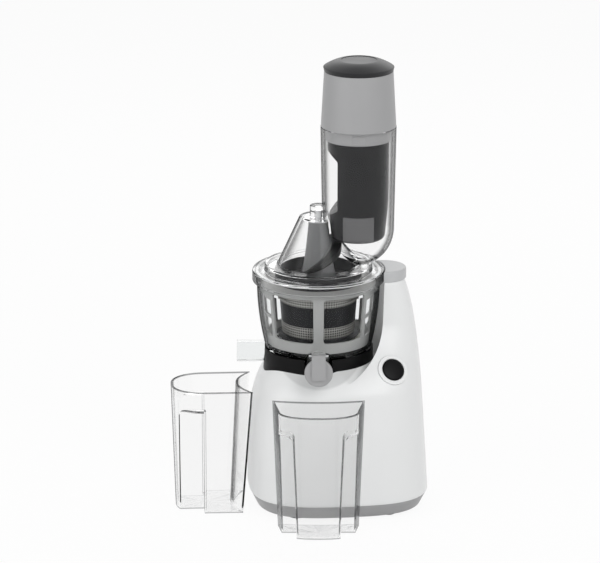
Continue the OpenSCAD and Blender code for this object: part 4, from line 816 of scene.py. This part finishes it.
class SwitchOperator(Operator):
    """Builds the switch's ring and its black button"""
    bl_idname = "juicer.switch"
    bl_label = "Power switch"

    def execute(self, context):
        bezel, button = sizes_now["bezel_radius"], sizes_now["button_radius"]
        place, inner = switch_place(), button + 0.4
        ring = turned("switch_ring", rounded([
            (inner, -SWITCH_DEPTH), (inner + 1, -SWITCH_DEPTH), (inner + 1, -2), (bezel, -2), (bezel, 1, 0.8),
            (inner + 0.6, 1, 0.5), (inner, 0.4, 0.3)], 0.2), place, 128)
        finished(ring, materials["body"], "base", "switch_bezel")
        dome = [(button * math.cos(a), 1.2 + 1.4 * math.sin(a)) for a in sweep(0, QUARTER, 10)]
        dome[-1] = (0, 2.6)
        knob = turned("button", [(0, -2.5), (button, -2.5)] + dome, place, 128)
        finished(knob, materials["button"], "button", "power_button")
        return {"FINISHED"}


class BowlOperator(Operator):
    """Builds the clear bowl with its spout and outlet, and the spout's hinged cap"""
    bl_idname = "juicer.bowl"
    bl_label = "Bowl"

    def execute(self, context):
        s, m = sizes_now, materials
        wall, foot, lip = s["bowl_wall"], s["bowl_foot_radius"], s["bowl_rim_radius"] + 1
        levels = [mix(RISE_Z, LIP_Z, i / 24) for i in range(25)]
        outside = [(foot, FOOT_Z)] + [(bowl_radius(z), z) for z in levels]
        outside += [(lip, LIP_Z + 1), (lip, 260.9), (lip - 0.6, BOWL_TOP), (lip - wall + 0.6, BOWL_TOP),
                    (lip - wall, 260.9), (lip - wall, LIP_Z + wall)]
        inside = [(bowl_radius(z) - wall, z) for z in reversed(levels) if FLOOR_Z + 1 < z < STEP_Z - 6]
        step = s["bowl_rim_radius"] - 6.2
        ledge = [(bowl_radius(LIP_Z) - wall, LIP_Z), (bowl_radius(STEP_Z) - wall, STEP_Z), (step, STEP_Z),
                 (step, STEP_Z - 2.5), (bowl_radius(STEP_Z - 5) - wall, STEP_Z - 5)]
        ground = [(bowl_radius(FLOOR_Z) - wall, FLOOR_Z), (RING_OUT, FLOOR_Z), (RING_OUT, RING_Z),
                  (RING_IN, RING_Z), (RING_IN, FLOOR_Z), (HUB_R, FLOOR_Z), (HUB_R, HUB_Z), (BORE_R, HUB_Z),
                  (BORE_R, UNDER_Z), (SEAL_R, UNDER_Z), (SEAL_R, SEAL_Z), (HUB_R, SEAL_Z), (HUB_R, UNDER_Z),
                  (foot - wall, UNDER_Z), (foot - wall, FOOT_Z)]
        bowl = turned("bowl", outside + ledge + inside + ground)
        spout, outlet = s["spout_radius"], s["outlet_radius"]
        combined(bowl, [
            self.pipe("spout", spout, SPOUT_LENGTH, facing_front(SPOUT_Y, SPOUT_Z)),
            self.pipe("outlet", outlet, OUTLET_LENGTH, facing_left(OUTLET_X, OUTLET_Z)),
            brick(-41.6, -29.4, -8, 8, OUTLET_Z, 190.5),
            drum("boss", 5.6, UNDER_Z, RING_Z, spot(IDLER_X), 48), self.ear(7.8), self.ear(-10.8)], "UNION")
        combined(bowl, [
            drum("bore", spout - SPOUT_WALL, 0, 60, facing_front(-bowl_radius(SPOUT_Z) - 2.4, SPOUT_Z), 96),
            brick(-7, 7, -67, -48, FLOOR_Z, 186),
            drum("bore", outlet - OUTLET_WALL, 0, 90, facing_left(-27, OUTLET_Z), 96),
            brick(-40, -31, -6.4, 6.4, OUTLET_Z, 192),
            drum("bore", 3, 177, 186, spot(IDLER_X), 48), self.hinge("bore", PIN_R, -15, 30, 24)])
        finished(bowl, m["smoke"], "bowl", "juicing_bowl")

        cap = turned("spout_cap", rounded([(0, 0), (CAP_R, 0, 0.5), (CAP_R, CAP_T, 1.2), (0, CAP_T)], 0),
                     facing_front(CAP_Y, SPOUT_Z), 128)
        half, top = TONGUE_HALF, TONGUE_TOP
        tongue = extruded("tongue", rounded([(-half, 167.5, 2.5), (half, 167.5, 2.5), (half, top, 1.2),
                                             (-half, top, 1.2)]), 0, 6.5, facing_front(CAP_Y, 0))
        arm = extruded("arm", rounded([(-CAP_Y, 190.5), (94.8, 190.5), (94.8, top), (-HINGE_Y, top),
                                       (-HINGE_Y, 190.5)], 0.3),
                       -half, half, Matrix(((0, 0, 1, 0), (-1, 0, 0, 0), (0, 1, 0, 0), (0, 0, 0, 1))))
        combined(cap, [tongue, arm, self.hinge("knuckle", HINGE_R, -half, 2 * half, 48)], "UNION")
        combined(cap, [self.hinge("bore", PIN_R + 0.05, -15, 30, 24)])
        finished(cap, m["trim"], "juice_cap", "juice_cap")
        return {"FINISHED"}

    def pipe(self, name, radius, size, place):
        """A pipe's outside, with its far edge eased."""
        return turned(name, rounded([(0, 0), (radius, 0), (radius, size, 0.6), (0, size)], 0), place, 96)

    def hinge(self, name, radius, x, size, steps):
        """A round solid on the hinge's axis, from a place towards +X."""
        return drum(name, radius, 0, size, facing_right(x, HINGE_Y, HINGE_Z), steps)

    def ear(self, x):
        """One ear of the hinge above the spout."""
        ear = self.hinge("ear", HINGE_R, x, 3, 48)
        return combined(ear, [brick(x, x + 3, -90, -86.4, 182.45, HINGE_Z)], "UNION")


def bowl_radius(z):
    """Outer radius of the bowl at a height."""
    t = clamp((z - RISE_Z) / (LIP_Z - RISE_Z))
    return mix(sizes_now["bowl_foot_radius"], sizes_now["bowl_rim_radius"], 1 - (1 - t) ** 2)


def strainer_radius(z):
    return mix(39, 43.5, (z - STRAINER_Z) / (STEP_Z - STRAINER_Z))


def cage_radius(z):
    return mix(55.5, 60, (z - CAGE_Z) / (CAGE_TOP - CAGE_Z))


def window(inner, outer, start, end, low, high, corner):
    """A cutter for a window in a round wall, between two angles and two heights."""
    middle = (inner + outer) / 2
    flat = rounded([(start * middle, low), (end * middle, low), (end * middle, high), (start * middle, high)],
                   corner)
    fine = []
    for i, p in enumerate(flat):
        q = flat[(i + 1) % len(flat)]
        parts = max(1, int((q - p).length / 1.5))
        fine += [p + (q - p) * k / parts for k in range(parts)]
    return skinned("window", [[(r * math.cos(p.x / middle), r * math.sin(p.x / middle), p.y) for p in fine]
                              for r in (inner, outer)])


class StrainerOperator(Operator):
    """Builds the dark strainer, its two etched bands and the brush cage, and gives the wipers their material
    """
    bl_idname = "juicer.strainer"
    bl_label = "Strainer and brush cage"

    def execute(self, context):
        s, m = sizes_now, materials
        wall, top, hole = STRAINER_WALL, STEP_Z + FLANGE_T, STRAINER_HOLE_R
        rim = s["bowl_rim_radius"] - s["bowl_wall"] - 1
        cup = turned("strainer", rounded([
            (hole, STRAINER_Z), (43, STRAINER_Z, 0.4), (45, STRAINER_Z + 2, 0.6),
            (strainer_radius(195), 195, 0.5), (strainer_radius(STEP_Z), STEP_Z, 0.6), (rim, STEP_Z, 0.4),
            (rim, top, 0.6), (MOUTH_R, top, 0.4), (MOUTH_R, MOUTH_Z, 0.6), (MOUTH_R - wall, MOUTH_Z, 0.6),
            (MOUTH_R - wall, top, 0.4), (strainer_radius(top) - wall, top, 0.3),
            (strainer_radius(194) - wall, 194, 1.0), (hole, 194)], 0.2))
        cuts = []
        for low, high in MESH_ROWS:
            for i in range(8):
                start = math.radians((i + 0.5) * 45 + 3)
                cuts.append(window(34, 50, start, start + math.radians(39), low, high, 0.8))
        combined(cup, cuts + [brick(-38.4, -32.6, -6.4, 6.4, 190, 196)])
        finished(cup, m["strainer"], "bowl", "strainer_frame")

        sheets = []
        for low, high in MESH_ROWS:
            low, high = low - 0.5, high + 0.5
            r0, r1 = strainer_radius(low) + 0.1, strainer_radius(high) + 0.1
            outline = [(r0 - 0.5, low), (r0, low), (r1, high), (r1 - 0.5, high)]
            sheets.append(turned("strainer_bands", outline))
        combined(sheets[0], sheets[1:], "UNION")
        finished(sheets[0], m["mesh"], "bowl", "strainer_mesh")

        wall, top = CAGE_WALL, cage_radius(CAGE_TOP)
        cage = turned("cage", rounded([
            (CAGE_HOLE_R, CAGE_Z), (cage_radius(CAGE_Z), CAGE_Z, 0.5), (top, CAGE_TOP, 0.4),
            (top, CAGE_RIM, 0.5), (top - wall, CAGE_RIM, 0.4), (top - wall, CAGE_TOP, 0.4),
            (cage_radius(196) - wall, 195.5, 0.4), (CAGE_HOLE_R, 190, 0.6)], 0.2))
        cuts = []
        for i, (at, then) in enumerate(zip(BAR_ANGLES, BAR_ANGLES[1:])):
            wide = [s["strap_width"] if angle % 180 == 0 else s["bar_width"] for angle in (at, then)]
            start = -QUARTER + math.radians(at) + wide[0] / 2 / 57
            end = -QUARTER + math.radians(then) - wide[1] / 2 / 57
            spans, corner = [(WINDOW_LOW, BELT_LOW), (BELT_TOP, SIDE_TOP)], 1.0
            if i % 4 in (0, 3):
                spans, corner = [(WINDOW_LOW, FRONT_TOP)], 3.5
            elif i in (2, 5):
                spans = [(WINDOW_LOW, SIDE_TOP)]
            cuts += [window(47, 68, start, end, low, high, corner) for low, high in spans]
        combined(cage, cuts)
        finished(cage, m["cage"], "cage", "brush_cage")

        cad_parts["brush_wipers"].material_slots[0].material = m["silicone"]
        return {"FINISHED"}


class AugerOperator(Operator):
    """Builds the auger: its core, a two-start screw and the knife flight under the lid"""
    bl_idname = "juicer.auger"
    bl_label = "Auger"

    def core(self, z):
        """Radius of the shaft at a height."""
        if z < STEP_Z:
            return mix(CORE_FOOT_R, CORE_R, clamp((z - STRAINER_Z) / (STEP_Z - STRAINER_Z)))
        return mix(CORE_R, CORE_TOP_R, clamp((z - STEP_Z) / (AUGER_TOP - STEP_Z)) ** 0.45)

    def flight(self, low, high, r0, r1, t0, t1, start, turns):
        """A helical blade with a rounded edge, from one radius and thickness to another."""
        steps = int(64 * turns)
        loops = []
        for i in range(steps + 1):
            share = i / steps
            angle, z, t = start + share * FULL * turns, mix(low, high, share), mix(t0, t1, share)
            inner, outer = self.core(z) - 4, mix(r0, r1, share)
            outline = rounded([(inner, z, 0), (outer, z, 0.8), (outer, z + t, 0.8), (inner, z + t, 0)])
            loops.append([(p.x * math.cos(angle), p.x * math.sin(angle), p.y) for p in outline])
        return skinned("flight", loops)

    def execute(self, context):
        levels = [STEP_Z + (AUGER_TOP - STEP_Z) * (i / 20) ** 1.5 for i in range(21)]
        outline = [(11.5, AUGER_Z), (AUGER_R, AUGER_Z), (AUGER_R, 195), (29.6, 196), (CORE_FOOT_R, 197)]
        outline += [(self.core(z), z) for z in levels]
        outline += [(PEG_R, AUGER_TOP), (PEG_R, PEG_TOP - 0.5), (3, PEG_TOP), (0, PEG_TOP), (0, 218),
                    (10, 218), (10, 194), (11.5, 194)]
        auger = turned("auger", outline)
        screws = [self.flight(SCREW_LOW, SCREW_TOP, SCREW_LOW_R, SCREW_TOP_R, 4, 2, start, 1.6)
                  for start in (0, math.pi)]
        knife = self.flight(SCREW_TOP, KNIFE_TOP, 38, 24, 4, 9, math.radians(-200), 0.6)
        combined(auger, screws + [knife], "UNION")
        finished(auger, materials["auger"], "auger", "auger")
        return {"FINISHED"}


class LidOperator(Operator):
    """Builds the clear lid with its flange, cone, peg and wide feed tube"""
    bl_idname = "juicer.lid"
    bl_label = "Lid"

    def tube(self, wall, extra):
        """The feed tube as a solid with a round bottom, drawn in by its wall."""
        radius, top = sizes_now["feed_radius"], sizes_now["feed_top"] + extra
        outline = [((radius - 2 - wall) * math.sin(a), FEED_BEND - (FEED_ROUND - wall) * math.cos(a))
                   for a in sweep(0, QUARTER, 24)]
        return turned("tube", outline + [(radius - wall, top), (0, top)], spot(FEED_X))

    def execute(self, context):
        wall, flange = sizes_now["lid_wall"], sizes_now["lid_radius"]
        bore = flange - wall + FIT
        outer = rounded([
            (0, LID_Z), (flange, LID_Z, 0.8), (flange, FLANGE_TOP, 1.4), (RISER_R, FLANGE_TOP, 1.2),
            (RISER_R, RISER_TOP, 2.0), (CONE_R, RISER_TOP, 1.5), (CONE_TOP_R, CONE_TOP, 1.6),
            (KNOB_R, CONE_TOP, 1.0), (KNOB_R, KNOB_TOP, 1.0), (0, KNOB_TOP)], 0)
        inner = rounded([
            (0, 250), (bore, 250), (bore, LID_ROOM, 0.4), (RISER_R - wall, LID_ROOM, 0.5),
            (RISER_R - wall, RISER_TOP - wall, 1.5), (CONE_R - wall, RISER_TOP - wall, 1),
            (CONE_TOP_R - wall, CONE_TOP - wall, 1.0), (0, CONE_TOP - wall)], 0)
        lid = combined(turned("lid", outer, steps=192), [self.tube(0, 0)], "UNION")
        combined(lid, [turned("inside", inner, steps=192), self.tube(wall, 1),
                       drum("bore", PEG_R + 0.05, 320, PEG_TOP + 1, steps=32)])
        finished(lid, materials["clear"], "lid", "lid")
        return {"FINISHED"}


class PusherOperator(Operator):
    """Builds the pusher: dark rod and foot, gray collar and hood, dark domed cap"""
    bl_idname = "juicer.pusher"
    bl_label = "Pusher"

    def plate(self, inner, outer, half, low, high):
        """A bent plate on the front of the pusher, between two radii and two heights."""
        middle = (inner + outer) / 2
        start, end = -QUARTER - half / middle, -QUARTER + half / middle
        piece = window(inner, outer, start, end, low, high, 1.2)
        piece.data.transform(Matrix.Translation((FEED_X * MM, 0, 0)))
        return piece

    def flat(self, top, grow):
        """The cutter of the rod's flat left side, with its slanted ends."""
        x, low, high = FLAT_X - grow, top - FLAT_DROP - grow, top - FLAT_TOP_DROP + grow
        return extruded("flat", rounded([(-66.8, low - FLAT_SLANT), (-x, low), (-x, high),
                                         (-66.8, high + FLAT_SLANT)], 1), -40, 40, facing_front(0, 0, FEED_X))

    def stem(self, top, inset, over, corner):
        """The rod as a solid, drawn in by an inset and lengthened over its top."""
        low, high = top - ROD_DROP + inset, top + COLLAR_LIFT + over
        stem = turned("stem", rounded([
            (0, low), (ROD_FOOT_R - inset, low, corner), (ROD_BEND_R - inset, top - BEND_DROP, 12),
            (ROD_R - inset, top - COLLAR_DROP), (ROD_R - inset, high), (0, high)], 0), spot(FEED_X))
        return combined(stem, [self.flat(top, inset)])

    def execute(self, context):
        m, place = materials, spot(FEED_X)
        top, hood, wall = sizes_now["feed_top"], sizes_now["hood_radius"], PUSHER_WALL
        rest, hood_top, low, foot_r = top + COLLAR_LIFT, top + HOOD_RISE, top - ROD_DROP, ROD_FOOT_R
        rod = combined(self.stem(top, 0, 0, 0), [self.stem(top, wall, 1, 1)])
        finished(rod, m["rod"], "pusher", "pusher_rod")
        panel = turned("pusher_panel", [
            (26.2, low - 5.3), (26.7, low - 5.3), (28.95, low - 3.1), (29.7, low), (32.4, low + 25),
            (31.9, low + 25), (29.2, low), (28.4, low - 3)], place)
        half, high = PANEL_HALF, low + PANEL_H
        front = rounded([(-half, low - FOOT_ROUND), (half, low - FOOT_ROUND), (half, high, 1),
                         (-half, high, 1)])
        combined(panel, [extruded("front", front, 10, 40, facing_front(0, 0, FEED_X))], "INTERSECT")
        finished(panel, m["panel"], "pusher")
        foot = turned("pusher_foot", [(0, low)] + [
            (foot_r - FOOT_ROUND * (1 - math.cos(a)), low - FOOT_ROUND * math.sin(a))
            for a in sweep(0, QUARTER, 12)] + [(0, low - FOOT_ROUND)], place)
        finished(foot, m["rod"], "pusher", "pusher_foot")
        collar = turned("pusher_collar", rounded([
            (ROD_R, top - COLLAR_DROP), (COLLAR_R, top - COLLAR_DROP, 0.6), (COLLAR_R, rest + wall),
            (ROD_R - wall, rest + wall), (ROD_R - wall, rest), (ROD_R, rest)], 0), place)
        combined(collar, [self.plate(35.0, 36.0, 7, top - 12.2, top - 3.4)], "UNION")
        finished(collar, m["trim"], "pusher", "pusher_collar")
        brim = hood - HOOD_TAPER
        cover = turned("pusher_hood", rounded([
            (COLLAR_R, rest), (hood, rest, 0.7), (brim, hood_top, 0.6), (brim - wall, hood_top, 0.4),
            (hood - wall, rest + wall, 0.4), (COLLAR_R, rest + wall)], 0), place)
        finished(cover, m["trim"], "pusher", "pusher_hood")
        edge, disc = hood - 2.5, DISC_R
        rings = [mix(edge, disc, i / 24) for i in range(1, 25)]
        dome = [(r, 4.4 + 7.6 * (1 - ((r - disc) / (edge - disc)) ** 1.5)) for r in rings]
        outline = [(0, 0), (edge - 1.2, 0), (edge - 0.9, 0.4), (edge - 0.2, 3.8), (edge, 4.2)] + dome
        outline += [(disc - 0.3, 11.9), (disc - 0.7, 11.4), (0, 11.4)]
        finished(turned("pusher_cap", outline, spot(FEED_X, 0, hood_top)), m["dark"], "pusher", "pusher_cap")
        return {"FINISHED"}


def cup_loop(rim, shares, lean, t, inset, z):
    """A level section of a cup; t is 0 at its foot and 1 at its rim."""
    c = [r * mix(share, 1, t) for r, share in zip(rim, shares)]
    half, nose = c[0] / 2 - inset, c[4] / 2 - inset
    back = -lean * (1 - t) - inset
    front, bow = back - c[1] + inset, c[2] - inset
    loop = []
    for i in range(30):
        x = mix(half, -half, i / 30)
        loop.append((x, back - c[3] * (1 - (x / half) ** 2), z))
    loop.append((-half, back, z))
    for a in sweep(math.pi, math.pi, 64):
        loop.append((nose * signed_power(math.cos(a), 0.9), front + bow * signed_power(math.sin(a), 0.9), z))
    return loop


class CupOperator(Operator):
    """Builds the juice cup and the pulp cup, with their hollow backs and finger grips"""
    bl_idname = "juicer.cups"
    bl_label = "Cups"

    def skin(self, rim, shares, lean, height, inset, low, place, extra=0.0):
        """The cup as a solid, drawn in by an inset, from a low level to its rim or beyond."""
        levels = [mix(low, height + extra, k / CUP_LEVELS) for k in range(CUP_LEVELS + 1)]
        return skinned("cup", [[place @ Vector(p) for p in
                                cup_loop(rim, shares, lean, min(1, z / height), inset, z)] for z in levels])

    def grips(self, x, y, height, grow, place):
        """The two cutters beside the cup's nose."""
        top, size = height - GRIP_DROP + grow, GRIP_ROUND + grow
        outline = [(size * (1 - math.cos(a)), top - size * (1 - math.sin(a)))
                   for a in sweep(0, QUARTER, FILLET_STEPS)]
        outline += [(height, top), (height, -1 - grow), (0, -1 - grow)]
        outline = [(across + GRIP_LEAN * clamp(up / top), up) for across, up in outline]
        turns = [Matrix(((side, 0, 0, side * (x - grow)), (0, 0, -1, grow - y), (0, 1, 0, 0), (0, 0, 0, 1)))
                 for side in (1, -1)]
        return [extruded("grip", outline, 0, height, place @ turn) for turn in turns]

    def cup(self, body, rim, shares, lean, grip, place):
        """One cup with its room inside; its sizes and its node carry the name of its body."""
        width, height, wall = sizes_now[body + "_width"], sizes_now[body + "_height"], sizes_now["cup_wall"]
        form = ((width,) + rim, shares, lean, height)
        cup = combined(self.skin(*form, 0, 0, place), self.grips(*grip, height, 0, place))
        room = combined(self.skin(*form, wall, CUP_FLOOR, place, 1), self.grips(*grip, height, wall, place))
        finished(combined(cup, [room]), materials["cup"], body, body)

    def execute(self, context):
        self.cup("juice_cup", JUICE_RIM, JUICE_SHARES, JUICE_LEAN, JUICE_GRIP, spot(0, -74))
        self.cup("pulp_cup", PULP_RIM, PULP_SHARES, PULP_LEAN, PULP_GRIP,
                 spot(-73.5, -13.7) @ Matrix.Rotation(math.radians(-86.5), 4, "Z"))
        return {"FINISHED"}


class DriveOperator(Operator):
    """Gives the carried-over inner parts their materials"""
    bl_idname = "juicer.drive"
    bl_label = "Drive and small parts"

    finishes = {
        "dark": ("base_plate", "gearbox_case", "gearbox_lid", "switch_body", "lid_switch", "board_parts",
                 "cooling_fan", "pulp_plug"),
        "rubber": ("output_seal", "motor_mounts", "cord_inlet"),
        "steel": ("base_screws", "gearbox_screws", "gear_pin", "output_shaft", "motor_shaft",
                  "spout_hinge_pin", "idler_pin", "auger_socket", "motor_bearings", "layshaft_pinion",
                  "motor_pinion"),
        "brass": ("output_bushing",),
        "aluminium": ("motor_front_bell", "motor_rear_bell"),
        "iron": ("motor_stator", "motor_rotor"),
        "copper": ("motor_windings",),
        "board": ("control_board",),
        "gear": ("output_gear", "layshaft_gear", "idler_gear", "auger_gear"),
        "silicone": ("bowl_shaft_seal",),
        "seal": ("lid_seal", "juice_cap_seal"),
    }

    def execute(self, context):
        for finish, names in self.finishes.items():
            for name in names:
                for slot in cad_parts[name].material_slots:
                    slot.material = materials[finish]
        return {"FINISHED"}


class JuicerPanel(Panel):
    """Lists the sizes, the colours and the operators"""
    bl_idname = "VIEW3D_PT_juicer"
    bl_label = "Cold Press Juicer"
    bl_space_type = "VIEW_3D"
    bl_region_type = "UI"
    bl_category = "Juicer"

    def draw(self, context):
        for group in (context.scene.juicer_sizes, context.scene.juicer_colours):
            column = self.layout.column(align=True)
            for name in group.__annotations__:
                column.prop(group, name)
        for step in STEPS:
            self.layout.operator(step.bl_idname)


STEPS = (StageOperator, BodyOperator, SwitchOperator, BowlOperator, StrainerOperator, AugerOperator,
         LidOperator, PusherOperator, CupOperator, DriveOperator)
CLASSES = (JuicerSizes, JuicerColours) + STEPS + (JuicerPanel,)
sizes_now = {}
materials = {}


def register():
    for cls in CLASSES:
        bpy.utils.register_class(cls)
    bpy.types.Scene.juicer_sizes = PointerProperty(type=JuicerSizes)
    bpy.types.Scene.juicer_colours = PointerProperty(type=JuicerColours)


def unregister():
    del bpy.types.Scene.juicer_colours
    del bpy.types.Scene.juicer_sizes
    for cls in reversed(CLASSES):
        bpy.utils.unregister_class(cls)


def main():
    register()
    sizes_now.update(sizes())
    materials.update(material_set())
    for step in STEPS:
        group, name = step.bl_idname.split(".")
        getattr(getattr(bpy.ops, group), name)()
    bpy.context.view_layer.update()


if __name__ == "__main__":
    main()
